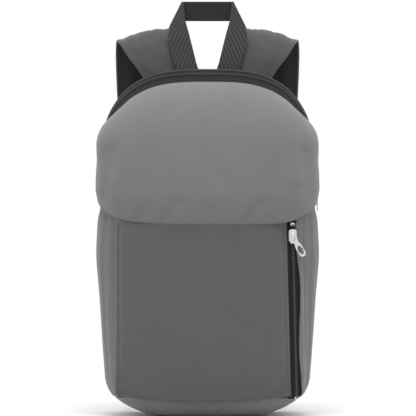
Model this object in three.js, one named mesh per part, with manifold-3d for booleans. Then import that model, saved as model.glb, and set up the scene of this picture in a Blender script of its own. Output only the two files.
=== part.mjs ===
// Daypack of about ten litres: a soft shell with an arched main zip, a front pocket with an
// upright zip, two padded shoulder straps and a webbing grab handle.
// Millimetres. +Z is up, the front faces -Y, and the origin is the centre of the flat base.
import * as THREE from "three";
import { mergeVertices } from "three/addons/utils/BufferGeometryUtils.js";
import Module from "manifold-3d";

const wasm = await Module();
wasm.setup();

// ---- driving dimensions, mm ----
const gap = 0.5; // between pieces that are sewn or butted together
const fabric = 1.8; // shell fabric with its lining

// bag outline
const bagHalfWidth = 126; // lower bag at its widest
const hipHeight = 190; // height where the bag reaches that width
const baseTaper = 12; // how much narrower each side is at the base
const cornerWidth = 60; // rounding of the lower corners, across
const cornerHeight = 44; // and up
const baseRim = 21; // height of the base panel's turned-up edge
const frontSeamY = -48; // front edge of the side gussets
const frontSeamX = 106; // half-width at that edge
const widestY = -18; // where the sides bulge furthest
const backInset = 12; // how far the sides draw in towards the back
const backFace = 66; // rear face of the back panel
const coverThickness = 4;
const foamThickness = 7;
const liningThickness = 2.4;

// front flap and its arch
const seamHeight = 221; // seam above the pocket, where the flap hinges
const seamY = -70;
const flapOverhang = 3; // how far the flap's sides bulge past the lower bag
const flapHeight = 162; // seam to the hem at the crest
const archPower = 3.1; // roundness of the arch
const flapBulge = 11; // how far the flap stands in front of its seam
const flapRollDepth = 15; // the sides roll back this far from their widest line to the hem
const flapCornerRise = 22; // the flap's lower edge climbs this far towards the sides

// main zip
const hemInset = 7; // the hem runs this far inside the flap's sides
const zipBandDepth = 24; // hem to the rear edge of the back tape, front to back
const zipBandRise = 14; // the same, upwards at the crest
const zipBandDraw = 3; // the same, inwards at the sides
const shoulderFoot = 275; // from this height to the next, the band and the flap spread outwards
const shoulderTop = 335;
const hemSpread = 3; // by this much at the hem
const rearSpread = 8; // at the rear edge of the band
const flapSpread = 7; // and at the flap's bulge
const sideHemY = -8;
const crestHemY = 6;
const straightTop = 300; // the zip runs straight up to this height
const tapeThickness = 1.2;
const coilWidth = 1.9;
const coilHeight = 2.6;
const coilClearance = 0.8;
const zipFoot = 246; // lowest point of the main zip
const openFoot = 272; // lowest point of its opening half

// sliders and pullers
const sliderLength = 16;
const sliderWidth = 9.4;
const sliderPlate = 1.8;
const bridgeWidth = 1.5;
const bridgeLength = 9;
const bridgeHeight = 4.6;
const bridgeThickness = 1.2;
const pullerLength = 28;
const pullerWidth = 8.4;
const pullerThickness = 1.5;
const mainSliderHeight = 258;
const pocketSliderHeight = 207;
const pocketPullerTilt = 30; // degrees from upright, as the tab hangs

// front pocket
const pocketFoot = 24;
const pocketLip = 2; // pocket top below the flap seam
const pocketY = frontSeamY - fabric - gap;
const pocketBulge = 19;
const pocketZipY = -50;
const pocketZipTopX = 97;
const pocketZipFootX = 102;
const pocketTapeWidth = 4;

// shoulder straps
const strapLayers = { cover: 2.6, foam: 4.2, lining: 2.2 };
const strapRootWidth = 62;
const strapEndWidth = 44;
const strapEndHeight = 150;
const strapRise = 43; // top bend above the back panel
const strapBend = 20; // top bend behind the back panel's rear face
const strapStandOff = 40; // hanging run behind that face, where the wearer's arm goes through
const webbingWidth = 25;
const webbingThickness = 1.8;
const lockWidth = webbingWidth + 11;
const lockHeight = 26;
const lockThickness = 4;
const lockBar = 4;
const anchorHeight = 30;

// grab handle
const handleRise = 82;
const handleSetIn = 13; // in front of the back panel's rear face
const handleLean = 5; // degrees backwards

// ---- derived places ----
const gussetBackY = backFace - coverThickness - foamThickness - liningThickness - 4 * gap;
const flapHalfWidth = bagHalfWidth + flapOverhang;
const hemHalfWidth = flapHalfWidth - hemInset;
const backHalfWidth = bagHalfWidth - backInset;
const backArch = flapHeight + zipBandRise - 5;
const backTop = seamHeight + backArch;
const strapCrestY = backFace + strapBend;
const handleY = backFace - handleSetIn;
const handleFoot = backTop + 2;
const strapThickness = strapLayers.cover + strapLayers.foam + strapLayers.lining + 2 * gap;
const radians = THREE.MathUtils.degToRad;
const lerp = THREE.MathUtils.lerp;
const smoothstep = THREE.MathUtils.smoothstep;

// ---- solids ----
function closedGeometry(points, faces) {
  const geometry = new THREE.BufferGeometry();
  geometry.setAttribute("position", new THREE.Float32BufferAttribute(points.flatMap((p) => p.toArray()), 3));
  const volume = faces.reduce((sum, [a, b, c]) => {
    return sum + points[a].dot(new THREE.Vector3().crossVectors(points[b], points[c]));
  }, 0);
  const outward = volume > 0 ? faces : faces.map(([a, b, c]) => [a, c, b]);
  geometry.setIndex(outward.flat());
  return geometry;
}

// A wall whose outer face is surface(u, v), for u and v from 0 to 1, and whose thickness
// grows towards the point "inside".
function wall(surface, inside, uSteps, vSteps, thickness) {
  const outer = [];
  const inner = [];
  const step = 0.01;
  for (let j = 0; j <= vSteps; j += 1) {
    for (let i = 0; i <= uSteps; i += 1) {
      const u = i / uSteps;
      const v = j / vSteps;
      const uIn = THREE.MathUtils.clamp(u, 0.02, 0.98);
      const vIn = THREE.MathUtils.clamp(v, 0.02, 0.98);
      const alongU = surface(uIn + step, vIn).sub(surface(uIn - step, vIn));
      const alongV = surface(uIn, vIn + step).sub(surface(uIn, vIn - step));
      const normal = alongU.cross(alongV).normalize();
      const point = surface(u, v);
      const side = normal.dot(inside.clone().sub(point)) > 0 ? 1 : -1;
      outer.push(point);
      inner.push(point.clone().addScaledVector(normal, side * thickness));
    }
  }
  const row = uSteps + 1;
  const offset = outer.length;
  const faces = [];
  const quad = (a, b, c, d) => faces.push([a, b, c], [a, c, d]);
  for (let j = 0; j < vSteps; j += 1) {
    for (let i = 0; i < uSteps; i += 1) {
      const a = j * row + i;
      quad(a, a + 1, a + row + 1, a + row);
      quad(offset + a, offset + a + row, offset + a + row + 1, offset + a + 1);
    }
  }
  for (let i = 0; i < uSteps; i += 1) {
    const top = vSteps * row + i;
    quad(i, offset + i, offset + i + 1, i + 1);
    quad(top, top + 1, offset + top + 1, offset + top);
  }
  for (let j = 0; j < vSteps; j += 1) {
    const left = j * row;
    const right = left + uSteps;
    quad(left, left + row, offset + left + row, offset + left);
    quad(right, offset + right, offset + right + row, right + row);
  }
  return closedGeometry([...outer, ...inner], faces);
}

// A solid through a row of sections, each a ring of the same number of points.
function loft(sections) {
  const count = sections[0].length;
  const faces = [];
  for (let s = 0; s + 1 < sections.length; s += 1) {
    for (let i = 0; i < count; i += 1) {
      const a = s * count + i;
      const b = s * count + ((i + 1) % count);
      faces.push([a, b, b + count], [a, b + count, a + count]);
    }
  }
  const last = (sections.length - 1) * count;
  for (let i = 1; i + 1 < count; i += 1) {
    faces.push([0, i + 1, i], [last, last + i, last + i + 1]);
  }
  return closedGeometry(sections.flat(), faces);
}

function flatSection({ centre, across, up }, halfWidth, low, high) {
  const corner = (x, y) => centre.clone().addScaledVector(across, x).addScaledVector(up, y);
  return [corner(-halfWidth, low), corner(halfWidth, low), corner(halfWidth, high), corner(-halfWidth, high)];
}

function padSection({ centre, across, up }, halfWidth, low, high) {
  const corner = (x, y) => centre.clone().addScaledVector(across, x).addScaledVector(up, y);
  const edge = halfWidth - 3;
  const quarter = (high - low) / 4;
  return [
    corner(-edge, low), corner(edge, low), corner(halfWidth, low + quarter), corner(halfWidth, high - quarter),
    corner(edge, high), corner(-edge, high), corner(-halfWidth, high - quarter), corner(-halfWidth, low + quarter),
  ];
}

function extruded(shape, depth) {
  return new THREE.ExtrudeGeometry(shape, { depth, bevelEnabled: false, curveSegments: 6 });
}

function rectangle(width, height, x = 0, y = 0, Path = THREE.Shape) {
  const path = new Path();
  path.moveTo(x - width / 2, y - height / 2);
  path.lineTo(x + width / 2, y - height / 2);
  path.lineTo(x + width / 2, y + height / 2);
  path.lineTo(x - width / 2, y + height / 2);
  path.closePath();
  return path;
}

function solidOf(geometry) {
  const bare = geometry.clone();
  bare.deleteAttribute("normal");
  bare.deleteAttribute("uv");
  const merged = mergeVertices(bare, 1e-4);
  return new wasm.Manifold(new wasm.Mesh({
    numProp: 3,
    vertProperties: new Float32Array(merged.attributes.position.array),
    triVerts: new Uint32Array(merged.index.array),
  }));
}

function geometryOf(solid) {
  const mesh = solid.getMesh();
  const geometry = new THREE.BufferGeometry();
  geometry.setAttribute("position", new THREE.Float32BufferAttribute(mesh.vertProperties, 3));
  geometry.setIndex(Array.from(mesh.triVerts));
  return geometry;
}

// ---- the assembly ----
const daypack = new THREE.Group();

function finish(color, roughness, metalness = 0) {
  return () => new THREE.MeshStandardMaterial({ color, roughness, metalness });
}
const panelCloth = finish(0x7d7d7d, 0.85);
const pocketCloth = finish(0x606060, 0.85);
const strapCloth = finish(0x505050, 0.85);
const webbing = finish(0x2c2c2c, 0.8);
const zipTape = finish(0x242424, 0.75);
const nylonCoil = finish(0x1c1c1c, 0.5);
const foam = finish(0x9a9a9a, 0.95);
const lining = finish(0x222222, 0.9);
const plastic = finish(0x1a1a1a, 0.5);
const metal = finish(0xc8c8c8, 0.3, 1);

function add(name, geometry, material) {
  const mesh = new THREE.Mesh(geometry, material());
  mesh.name = name;
  daypack.add(mesh);
  return mesh;
}

// ---- the shape of the bag ----
function sideHalfWidth(z) {
  const taper = baseTaper * Math.max(0, 1 - z / hipHeight) ** 1.6;
  const corner = Math.max(0, 1 - z / cornerHeight);
  return bagHalfWidth - taper - cornerWidth * (1 - Math.sqrt(1 - corner * corner));
}

function sideX(y, z) {
  const widest = sideHalfWidth(z);
  const seam = Math.min(frontSeamX, widest - 6);
  if (y < widestY) {
    return widest - (widest - seam) * ((widestY - y) / (widestY - frontSeamY)) ** 2;
  }
  return widest - backInset * ((y - widestY) / (gussetBackY - widestY)) ** 1.5;
}

// A point of the arch, from its left foot (0) over the crest (0.5) to its right foot (1).
function archPoint(along, halfWidth, height) {
  const u = THREE.MathUtils.clamp((along - 0.5) * 4, -1, 1);
  const v = Math.min(1, 4 * Math.min(along, 1 - along));
  const x = halfWidth * u * (1 - v ** archPower / 2) ** (1 / archPower);
  const z = seamHeight + height * v * (1 - Math.abs(u) ** archPower / 2) ** (1 / archPower);
  return { x, z };
}

function archAlong(height, archHeight) {
  const side = archHeight * 0.5 ** (1 / archPower);
  return (height - seamHeight) / side / 4;
}

function hemY(z) {
  return lerp(sideHemY, crestHemY, smoothstep(z, straightTop, seamHeight + flapHeight));
}

// The zip band is ruled between the flap's hem (share 0) and the top gusset (share 1).
function zipPoint(along, share) {
  const hem = archPoint(along, hemHalfWidth, flapHeight);
  const shoulder = smoothstep(hem.z, shoulderFoot, shoulderTop);
  hem.x *= 1 + (hemSpread * shoulder) / hemHalfWidth;
  const rear = archPoint(along, hemHalfWidth - zipBandDraw + rearSpread * shoulder, flapHeight + zipBandRise);
  const y = hemY(hem.z);
  return new THREE.Vector3(lerp(hem.x, rear.x, share), y + zipBandDepth * share, lerp(hem.z, rear.z, share));
}

function zipFrame(along, share) {
  const centre = zipPoint(along, share);
  const tangent = zipPoint(along + 0.004, share).sub(zipPoint(along - 0.004, share)).normalize();
  const across = zipPoint(along, share + 0.1).sub(zipPoint(along, share - 0.1)).normalize();
  const up = new THREE.Vector3().crossVectors(tangent, across).normalize();
  const outward = centre.clone().sub(new THREE.Vector3(0, centre.y, seamHeight));
  return { centre, across, up: up.dot(outward) > 0 ? up : up.negate(), tangent };
}

// A strip of the zip band, "offset" across it from the coil line and between two levels.
const coilShare = 0.6;
function zipStrip(offset, width, low, high, foot) {
  const start = archAlong(foot, flapHeight);
  const steps = 44;
  const sections = [];
  for (let i = 0; i <= steps; i += 1) {
    const frame = zipFrame(lerp(start, 1 - start, i / steps), coilShare);
    frame.centre.addScaledVector(frame.across, offset);
    sections.push(flatSection(frame, width / 2, low, high));
  }
  return loft(sections);
}

// ---- lower bag ----
const middle = new THREE.Vector3(0, 0, 150);
const gussetFoot = baseRim + fabric + gap; // clears the rolled rim of the base
for (const [name, side] of [["left", -1], ["right", 1]]) {
  const surface = (u, v) => {
    const y = lerp(frontSeamY, gussetBackY, u);
    const top = seamHeight - pocketLip + flapCornerRise * smoothstep(y, frontSeamY, sideHemY);
    const z = lerp(gussetFoot, top, v);
    return new THREE.Vector3(side * sideX(y, z), y, z);
  };
  add(`side_gusset_${name}`, wall(surface, middle, 8, 12, fabric), panelCloth);
}

const basePower = 4;
const baseDepth = (gussetBackY - frontSeamY) / 2;
const baseMiddleY = (gussetBackY + frontSeamY) / 2;
const flatShare = 0.5;
add("base_panel", wall((s, t) => {
  const u = 2 * s - 1;
  const v = 2 * t - 1;
  const edge = Math.max(Math.abs(u), Math.abs(v));
  const x = (sideHalfWidth(baseRim) - gap) * u * (1 - Math.abs(v) ** basePower / 2) ** (1 / basePower);
  const y = baseMiddleY + baseDepth * v * (1 - Math.abs(u) ** basePower / 2) ** (1 / basePower);
  const rise = Math.max(0, edge - flatShare) / (1 - flatShare);
  return new THREE.Vector3(x, y, baseRim * rise ** 2);
}, middle, 16, 16, fabric), panelCloth);

add("front_inner_panel", wall((u, v) => {
  const z = lerp(gussetFoot, seamHeight - pocketLip, v);
  const x = (Math.min(frontSeamX, sideHalfWidth(z) - 6) - 4) * (2 * u - 1);
  return new THREE.Vector3(x, frontSeamY + fabric + 2, z);
}, middle, 4, 8, fabric), lining);

// ---- front pocket ----
function pocketZipX(z) {
  return lerp(pocketZipTopX, pocketZipFootX, (seamHeight - z) / (seamHeight - pocketFoot));
}
const pocketTapeEdge = coilWidth + gap / 2 + pocketTapeWidth;
add("pocket_panel", wall((u, v) => {
  const z = lerp(pocketFoot, seamHeight - pocketLip, v);
  const left = -Math.min(frontSeamX, sideHalfWidth(z) - 6);
  const right = pocketZipX(z) - pocketTapeEdge - gap;
  const x = lerp(left, right, u);
  const across = (1 - Math.abs(2 * u - 1) ** 4) ** 0.6;
  const upward = (1 - (1 - v) ** 6) ** 0.6;
  return new THREE.Vector3(x, pocketY - pocketBulge * across * upward, z);
}, middle, 14, 14, fabric), pocketCloth);

const pocketAxis = new THREE.Vector3(pocketZipFootX - pocketZipTopX, 0, pocketFoot - seamHeight).normalize();
function pocketStrip(from, to, low, high) {
  const level = [seamHeight - pocketLip, pocketFoot];
  return loft(level.map((z) => {
    const centre = new THREE.Vector3(pocketZipX(z) + (from + to) / 2, pocketZipY, z);
    const frame = { centre, across: new THREE.Vector3(1, 0, 0), up: new THREE.Vector3(0, -1, 0) };
    return flatSection(frame, Math.abs(to - from) / 2, low, high);
  }));
}
const halfTape = tapeThickness / 2;
const coilGap = gap / 2;
for (const [name, side] of [["left", -1], ["right", 1]]) {
  const coil = pocketStrip(side * coilGap, side * (coilGap + coilWidth), -halfTape, coilHeight - halfTape);
  const tape = pocketStrip(side * (2 * coilGap + coilWidth), side * pocketTapeEdge, -halfTape, halfTape);
  add(`pocket_zip_${name}_coil`, coil, nylonCoil);
  add(`pocket_zip_${name}_tape`, tape, zipTape);
}

// ---- sliders: z runs along the zip and -y stands off it; y = 0 is the middle of the tape ----
const channelTop = coilHeight - halfTape + coilClearance;
const channelHalf = coilWidth + coilGap + 0.6;
function sliderSolid() {
  const half = sliderWidth / 2;
  const flange = halfTape + 1;
  const channel = new THREE.Shape([
    new THREE.Vector2(-half, -flange), new THREE.Vector2(-channelHalf, -flange),
    new THREE.Vector2(-channelHalf, -channelTop), new THREE.Vector2(channelHalf, -channelTop),
    new THREE.Vector2(channelHalf, -flange), new THREE.Vector2(half, -flange),
    new THREE.Vector2(half, -channelTop - sliderPlate * 0.6),
    new THREE.Vector2(half - 1.2, -channelTop - sliderPlate),
    new THREE.Vector2(1.2 - half, -channelTop - sliderPlate),
    new THREE.Vector2(-half, -channelTop - sliderPlate * 0.6),
  ]);
  const body = extruded(channel, sliderLength).translate(0, 0, -sliderLength / 2);
  const reach = bridgeLength / 2;
  const inside = reach - bridgeThickness;
  const arch = new THREE.Shape([
    new THREE.Vector2(-reach, -0.5), new THREE.Vector2(-inside, -0.5),
    new THREE.Vector2(-inside, bridgeHeight - 1.2 - bridgeThickness),
    new THREE.Vector2(1 - inside, bridgeHeight - bridgeThickness),
    new THREE.Vector2(inside - 1, bridgeHeight - bridgeThickness),
    new THREE.Vector2(inside, bridgeHeight - 1.2 - bridgeThickness),
    new THREE.Vector2(inside, -0.5), new THREE.Vector2(reach, -0.5),
    new THREE.Vector2(reach, bridgeHeight - 1.2), new THREE.Vector2(reach - 1.2, bridgeHeight),
    new THREE.Vector2(1.2 - reach, bridgeHeight), new THREE.Vector2(-reach, bridgeHeight - 1.2),
  ]);
  // the arch is drawn along the zip and stood up on the plate
  const bridge = extruded(arch, bridgeWidth).translate(0, 0, -bridgeWidth / 2);
  bridge.applyMatrix4(new THREE.Matrix4().makeBasis(
    new THREE.Vector3(0, 0, 1), new THREE.Vector3(0, -1, 0), new THREE.Vector3(1, 0, 0)));
  bridge.translate(0, -channelTop - sliderPlate, 0);
  return geometryOf(solidOf(body).add(solidOf(bridge)));
}

// The tab hangs from a bar under the bridge. Its bar is the origin, and the tab runs down -z.
const pullerBar = 1.3;
const pullerWindow = pullerWidth - 2 * 1.3;
const windowLength = 7;
function pullerSolid() {
  const half = pullerWidth / 2;
  const tab = new THREE.Shape();
  tab.moveTo(-half, pullerBar / 2);
  tab.lineTo(-half, -pullerLength + half);
  tab.absarc(0, -pullerLength + half, half, Math.PI, 2 * Math.PI, false);
  tab.lineTo(half, pullerBar / 2);
  tab.closePath();
  const windowCentre = -pullerBar / 2 - windowLength / 2;
  tab.holes.push(rectangle(pullerWindow, windowLength, 0, windowCentre, THREE.Path));
  const eye = new THREE.Path();
  eye.absellipse(0, -pullerLength + 8.6, 2.6, 5.4, 0, 2 * Math.PI, true, 0);
  tab.holes.push(eye);
  const plate = extruded(tab, pullerThickness).translate(0, 0, -pullerThickness / 2);
  return plate.rotateX(Math.PI / 2);
}
const barHeight = channelTop + sliderPlate + 0.5 + pullerThickness / 2;

const pocketSlider = add("pocket_zip_slider", sliderSolid(), metal);
pocketSlider.position.set(pocketZipX(pocketSliderHeight), pocketZipY, pocketSliderHeight);
pocketSlider.rotation.y = Math.atan2(-pocketAxis.x, -pocketAxis.z);
const pocketPuller = add("pocket_zip_puller", pullerSolid(), metal);
pocketPuller.position.set(pocketZipX(pocketSliderHeight), pocketZipY - barHeight, pocketSliderHeight);
pocketPuller.rotation.y = -radians(pocketPullerTilt);

const stopLength = 3;
function stopSolid() {
  const stopWidth = 2 * (coilWidth + coilGap);
  const block = extruded(rectangle(stopWidth, stopLength), coilHeight);
  return block.translate(0, 0, -coilHeight / 2).rotateX(Math.PI / 2);
}
for (const [name, z] of [
  ["top", seamHeight - pocketLip + gap + stopLength / 2],
  ["bottom", pocketFoot - gap - stopLength / 2],
]) {
  add(`pocket_zip_${name}_stop`, stopSolid(), metal).position.set(pocketZipX(z), pocketZipY, z);
}

// ---- front flap ----
// Its sides bulge past the hem and roll back in to it; at the crest it meets the hem directly.
function flapPoint(s, t) {
  const v = Math.sin(t * Math.PI / 2);
  const edge = Math.abs(2 * s - 1);
  const widest = lerp(0.84, 1, v ** 3);
  const roll = edge > widest ? (edge - widest) / (1 - widest) : 0;
  const u = Math.sign(s - 0.5) * Math.sin(Math.min(1, edge / widest) * Math.PI / 2);
  const fade = 1 - v ** 6;
  const height = flapHeight - gap;
  const top = height * v * (1 - Math.abs(u) ** archPower / 2) ** (1 / archPower);
  const cornerRise = flapCornerRise * Math.abs(u) ** 8;
  const z = seamHeight + gap + cornerRise * (1 - v) + top;
  const bulge = fade * (1 - roll ** 1.5);
  const spread = smoothstep(z, shoulderFoot, shoulderTop) * lerp(hemSpread, flapSpread, bulge);
  const halfWidth = flapHalfWidth - hemInset * (1 - bulge) + spread;
  const x = halfWidth * u * (1 - v ** archPower / 2) ** (1 / archPower);
  const across = Math.sqrt(Math.max(0, 1 - Math.abs(u) ** 3.5));
  const upward = Math.sqrt(Math.max(0, 1 - (Math.max(0, v - 0.2) / 0.8) ** 2));
  const chin = flapBulge * Math.max(0, 1 - v / 0.25) ** 2;
  const edgeY = hemY(z) - flapRollDepth * fade * (1 - roll);
  const front = seamY - flapBulge + chin;
  return new THREE.Vector3(x, edgeY + (front - edgeY) * across * upward, z);
}
add("upper_front_panel", wall(flapPoint, new THREE.Vector3(0, 10, 260), 26, 14, fabric), panelCloth);

// ---- main zip ----
const bandWidth = Math.hypot(zipBandDepth, zipBandRise);
const sideBandWidth = Math.hypot(zipBandDepth, zipBandDraw);
const frontTapeWidth = coilShare * sideBandWidth - coilWidth - 2 * coilGap - 2;
const backTapeWidth = (1 - coilShare) * sideBandWidth - coilWidth - 2 * coilGap;
const coilMiddle = coilGap + coilWidth / 2;
const tapeStart = 2 * coilGap + coilWidth;
const coilTop = coilHeight - halfTape;
add("main_zip_front_coil", zipStrip(-coilMiddle, coilWidth, -halfTape, coilTop, openFoot), nylonCoil);
add("main_zip_back_coil", zipStrip(coilMiddle, coilWidth, -halfTape, coilTop, zipFoot), nylonCoil);
add("main_zip_front_tape",
  zipStrip(-tapeStart - frontTapeWidth / 2, frontTapeWidth, -halfTape, halfTape, openFoot), zipTape);
add("main_zip_back_tape",
  zipStrip(tapeStart + backTapeWidth / 2, backTapeWidth, -halfTape, halfTape, zipFoot), zipTape);

function onZip(mesh, along, stand) {
  const { centre, up, tangent } = zipFrame(along, coilShare);
  const rise = tangent.z > 0 ? tangent : tangent.negate();
  const sideways = new THREE.Vector3().crossVectors(up.clone().negate(), rise);
  const basis = new THREE.Matrix4().makeBasis(sideways, up.clone().negate(), rise);
  mesh.quaternion.setFromRotationMatrix(basis);
  mesh.position.copy(centre).addScaledVector(up, stand);
}
const mainAlong = 1 - archAlong(mainSliderHeight, flapHeight);
onZip(add("main_zip_slider", sliderSolid(), metal), mainAlong, 0);
onZip(add("main_zip_puller", pullerSolid(), metal), mainAlong, barHeight);
for (const [name, end] of [["left", 0], ["right", 1]]) {
  const foot = archAlong(zipFoot - gap - stopLength / 2, flapHeight);
  onZip(add(`main_zip_stop_${name}`, stopSolid(), metal), Math.abs(end - foot), 0);
}

// ---- top gusset: one strip over the arch, from the zip to the back panel ----
const gussetStart = archAlong(seamHeight + flapCornerRise - 1, flapHeight);
add("top_gusset", wall((u, v) => {
  const along = lerp(gussetStart, 1 - gussetStart, u);
  const front = zipPoint(along, 1 + 2 * gap / bandWidth);
  const rear = archPoint(along, backHalfWidth, backArch);
  const backEdge = new THREE.Vector3(rear.x, gussetBackY, rear.z);
  return front.lerp(backEdge, v);
}, middle, 44, 3, fabric), panelCloth);

// ---- back panel: mesh-covered face, foam and lining, stacked from the rear inwards ----
function backOutline(inset) {
  const points = [];
  const foot = 0;
  const lowerSteps = 9;
  for (let i = 0; i < lowerSteps; i += 1) {
    const z = lerp(foot, seamHeight, (i / lowerSteps) ** 1.6);
    points.push([sideHalfWidth(z) - backInset, z]);
  }
  const archSteps = 30;
  for (let i = 0; i <= archSteps; i += 1) {
    const { x, z } = archPoint(1 - i / archSteps, backHalfWidth, backArch);
    points.push([x, z]);
  }
  for (let i = lowerSteps - 1; i >= 0; i -= 1) {
    points.push([-points[i][0], points[i][1]]);
  }
  const centreZ = seamHeight * 0.8;
  return points.map(([x, z]) => {
    const length = Math.hypot(x, z - centreZ);
    const scale = (length - inset) / length;
    return new THREE.Vector2(x * scale, centreZ + (z - centreZ) * scale);
  });
}

function upright(shape, thickness, rearY) {
  return extruded(shape, thickness).rotateX(Math.PI / 2).translate(0, rearY, 0);
}
let rear = backFace;
for (const [name, thickness, inset, material] of [
  ["back_panel_cover", coverThickness, 0, panelCloth],
  ["back_foam_pad", foamThickness, 3, foam],
  ["back_lining", liningThickness, 0, lining],
]) {
  add(name, upright(new THREE.Shape(backOutline(inset)), thickness, rear), material);
  rear -= thickness + gap;
}
const yokeHeight = 34;
const yoke = rectangle(120, yokeHeight, 0, seamHeight + backArch - yokeHeight / 2 - 12);
add("strap_yoke", upright(yoke, 1.6, backFace + gap + 1.6), strapCloth);

// ---- shoulder straps ----
const strapRoute = new THREE.CatmullRomCurve3([
  [49, backFace - 4, backTop + 4], [58, backFace - 3, backTop + 22],
  [66, backFace + 3, backTop + strapRise - 10], [71, backFace + 11, backTop + strapRise - 2],
  [73, strapCrestY, backTop + strapRise], [74, backFace + strapStandOff - 10, backTop + strapRise - 5],
  [75, backFace + strapStandOff - 4, backTop + strapRise - 19], [76, backFace + strapStandOff - 2, backTop + 6],
  [76, backFace + strapStandOff, backTop - 42], [79, backFace + strapStandOff, backTop - 102],
  [86, backFace + strapStandOff - 3, strapEndHeight + 70], [92, backFace + strapStandOff - 8, strapEndHeight],
].map((p) => new THREE.Vector3(...p)), false, "centripetal");
const crestSlope = 0.25;

function strapFrame(along, side) {
  const centre = strapRoute.getPointAt(along);
  const tangent = strapRoute.getTangentAt(along);
  const rising = smoothstep(centre.z, backTop + 2, backTop + strapRise - 12);
  const slope = crestSlope * rising * (1 - smoothstep(centre.y, strapCrestY, strapCrestY + 14));
  const across = new THREE.Vector3(1, 0, -slope).normalize();
  const up = new THREE.Vector3().crossVectors(across, tangent).normalize();
  for (const vector of [centre, across, up]) {
    vector.x *= side;
  }
  return { centre, across, up };
}

// The crest is where the route passes strapCrestY.
let crestAlong = 0;
while (strapRoute.getPointAt(crestAlong).y < strapCrestY) {
  crestAlong += 0.001;
}

function strapPiece(side, from, to, low, high, steps) {
  const sections = [];
  for (let i = 0; i <= steps; i += 1) {
    const along = lerp(from, to, i / steps);
    const halfWidth = lerp(strapRootWidth, strapEndWidth, smoothstep(along, 0.25, 0.9)) / 2;
    sections.push(padSection(strapFrame(along, side), halfWidth, low, high));
  }
  return loft(sections);
}

const lockCentre = new THREE.Vector3(93, backFace + strapStandOff - 9, strapEndHeight - lockHeight / 2 - 6);
function lockSolid() {
  const frame = rectangle(lockWidth, lockHeight);
  const slot = (lockHeight - 3 * lockBar) / 2;
  for (const end of [-1, 1]) {
    const hole = rectangle(lockWidth - 8, slot, 0, end * (slot + lockBar) / 2, THREE.Path);
    frame.holes.push(hole);
  }
  return extruded(frame, lockThickness).translate(0, 0, -lockThickness / 2).rotateX(Math.PI / 2);
}

function loopSolid() {
  const topBar = lockHeight / 2 - lockBar / 2;
  const clear = 0.5;
  const innerY = lockThickness / 2 + clear;
  const outerY = innerY + webbingThickness;
  const low = topBar - lockBar / 2 - clear;
  const high = lockHeight / 2 + 3.5;
  const profile = new THREE.Shape([
    new THREE.Vector2(-outerY, high), new THREE.Vector2(-outerY, low - webbingThickness),
    new THREE.Vector2(outerY, low - webbingThickness), new THREE.Vector2(outerY, high),
    new THREE.Vector2(innerY, high), new THREE.Vector2(innerY, low),
    new THREE.Vector2(-innerY, low), new THREE.Vector2(-innerY, high),
  ]);
  // the profile is drawn in y and z and runs along x
  const loop = extruded(profile, webbingWidth).translate(0, 0, -webbingWidth / 2);
  return loop.applyMatrix4(new THREE.Matrix4().makeBasis(
    new THREE.Vector3(0, 1, 0), new THREE.Vector3(0, 0, 1), new THREE.Vector3(1, 0, 0)));
}

function ribbon(points, width, side) {
  const curve = new THREE.CatmullRomCurve3(points.map((p) => new THREE.Vector3(...p)));
  const steps = 8;
  const sections = [];
  for (let i = 0; i <= steps; i += 1) {
    const centre = curve.getPointAt(i / steps);
    const tangent = curve.getTangentAt(i / steps);
    const across = new THREE.Vector3(1, 0, 0).addScaledVector(tangent, -tangent.x).normalize();
    const up = new THREE.Vector3().crossVectors(across, tangent);
    for (const vector of [centre, across, up]) {
      vector.x *= side;
    }
    sections.push(flatSection({ centre, across, up }, width / 2, -webbingThickness / 2, webbingThickness / 2));
  }
  return loft(sections);
}

const rootTop = crestAlong - 0.011; // the inside of the bend needs more room than the outside
const padStart = crestAlong + 0.004;
for (const [name, side] of [["left", -1], ["right", 1]]) {
  const half = strapThickness / 2;
  add(`strap_root_${name}`, strapPiece(side, 0, rootTop, -half, half, 8), strapCloth);
  let level = half;
  for (const [layer, material] of [["cover", strapCloth], ["foam", foam], ["lining", lining]]) {
    const thickness = strapLayers[layer];
    add(`strap_${layer}_${name}`, strapPiece(side, padStart, 1, level - thickness, level, 20), material);
    level -= thickness + gap;
  }
  const place = new THREE.Vector3(side * lockCentre.x, lockCentre.y, lockCentre.z);
  add(`ladder_lock_${name}`, lockSolid(), plastic).position.copy(place);
  add(`buckle_loop_${name}`, loopSolid(), webbing).position.copy(place);
  const lockFoot = lockCentre.z - lockHeight / 2;
  const webbingRoute = [
    [90, backFace + 7, 44], [90, backFace + 14, 66], [92, lockCentre.y - 6, 92],
    [93, lockCentre.y - 1.5, lockFoot - 3 * gap],
  ];
  add(`strap_webbing_${name}`, ribbon(webbingRoute, webbingWidth, side), webbing);
  const tailTop = lockFoot + 3;
  const tailRoute = [
    [93, lockCentre.y + 4.5, tailTop], [93, lockCentre.y + 6, 100], [94, lockCentre.y + 6.5, 75],
    [94.5, lockCentre.y + 6, 45],
  ];
  add(`strap_tail_${name}`, ribbon(tailRoute, webbingWidth, side), webbing);
  const anchor = new THREE.Shape([
    new THREE.Vector2(-14, -12), new THREE.Vector2(14, -6), new THREE.Vector2(webbingWidth / 2, 14),
    new THREE.Vector2(-webbingWidth / 2, 14),
  ]);
  const tab = upright(anchor, 3, backFace + gap + 3).translate(90, 0, anchorHeight);
  if (side < 0) {
    tab.rotateZ(Math.PI).translate(0, 2 * backFace + 2 * gap + 3, 0);
  }
  add(`strap_anchor_${name}`, tab, strapCloth);
}

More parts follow.
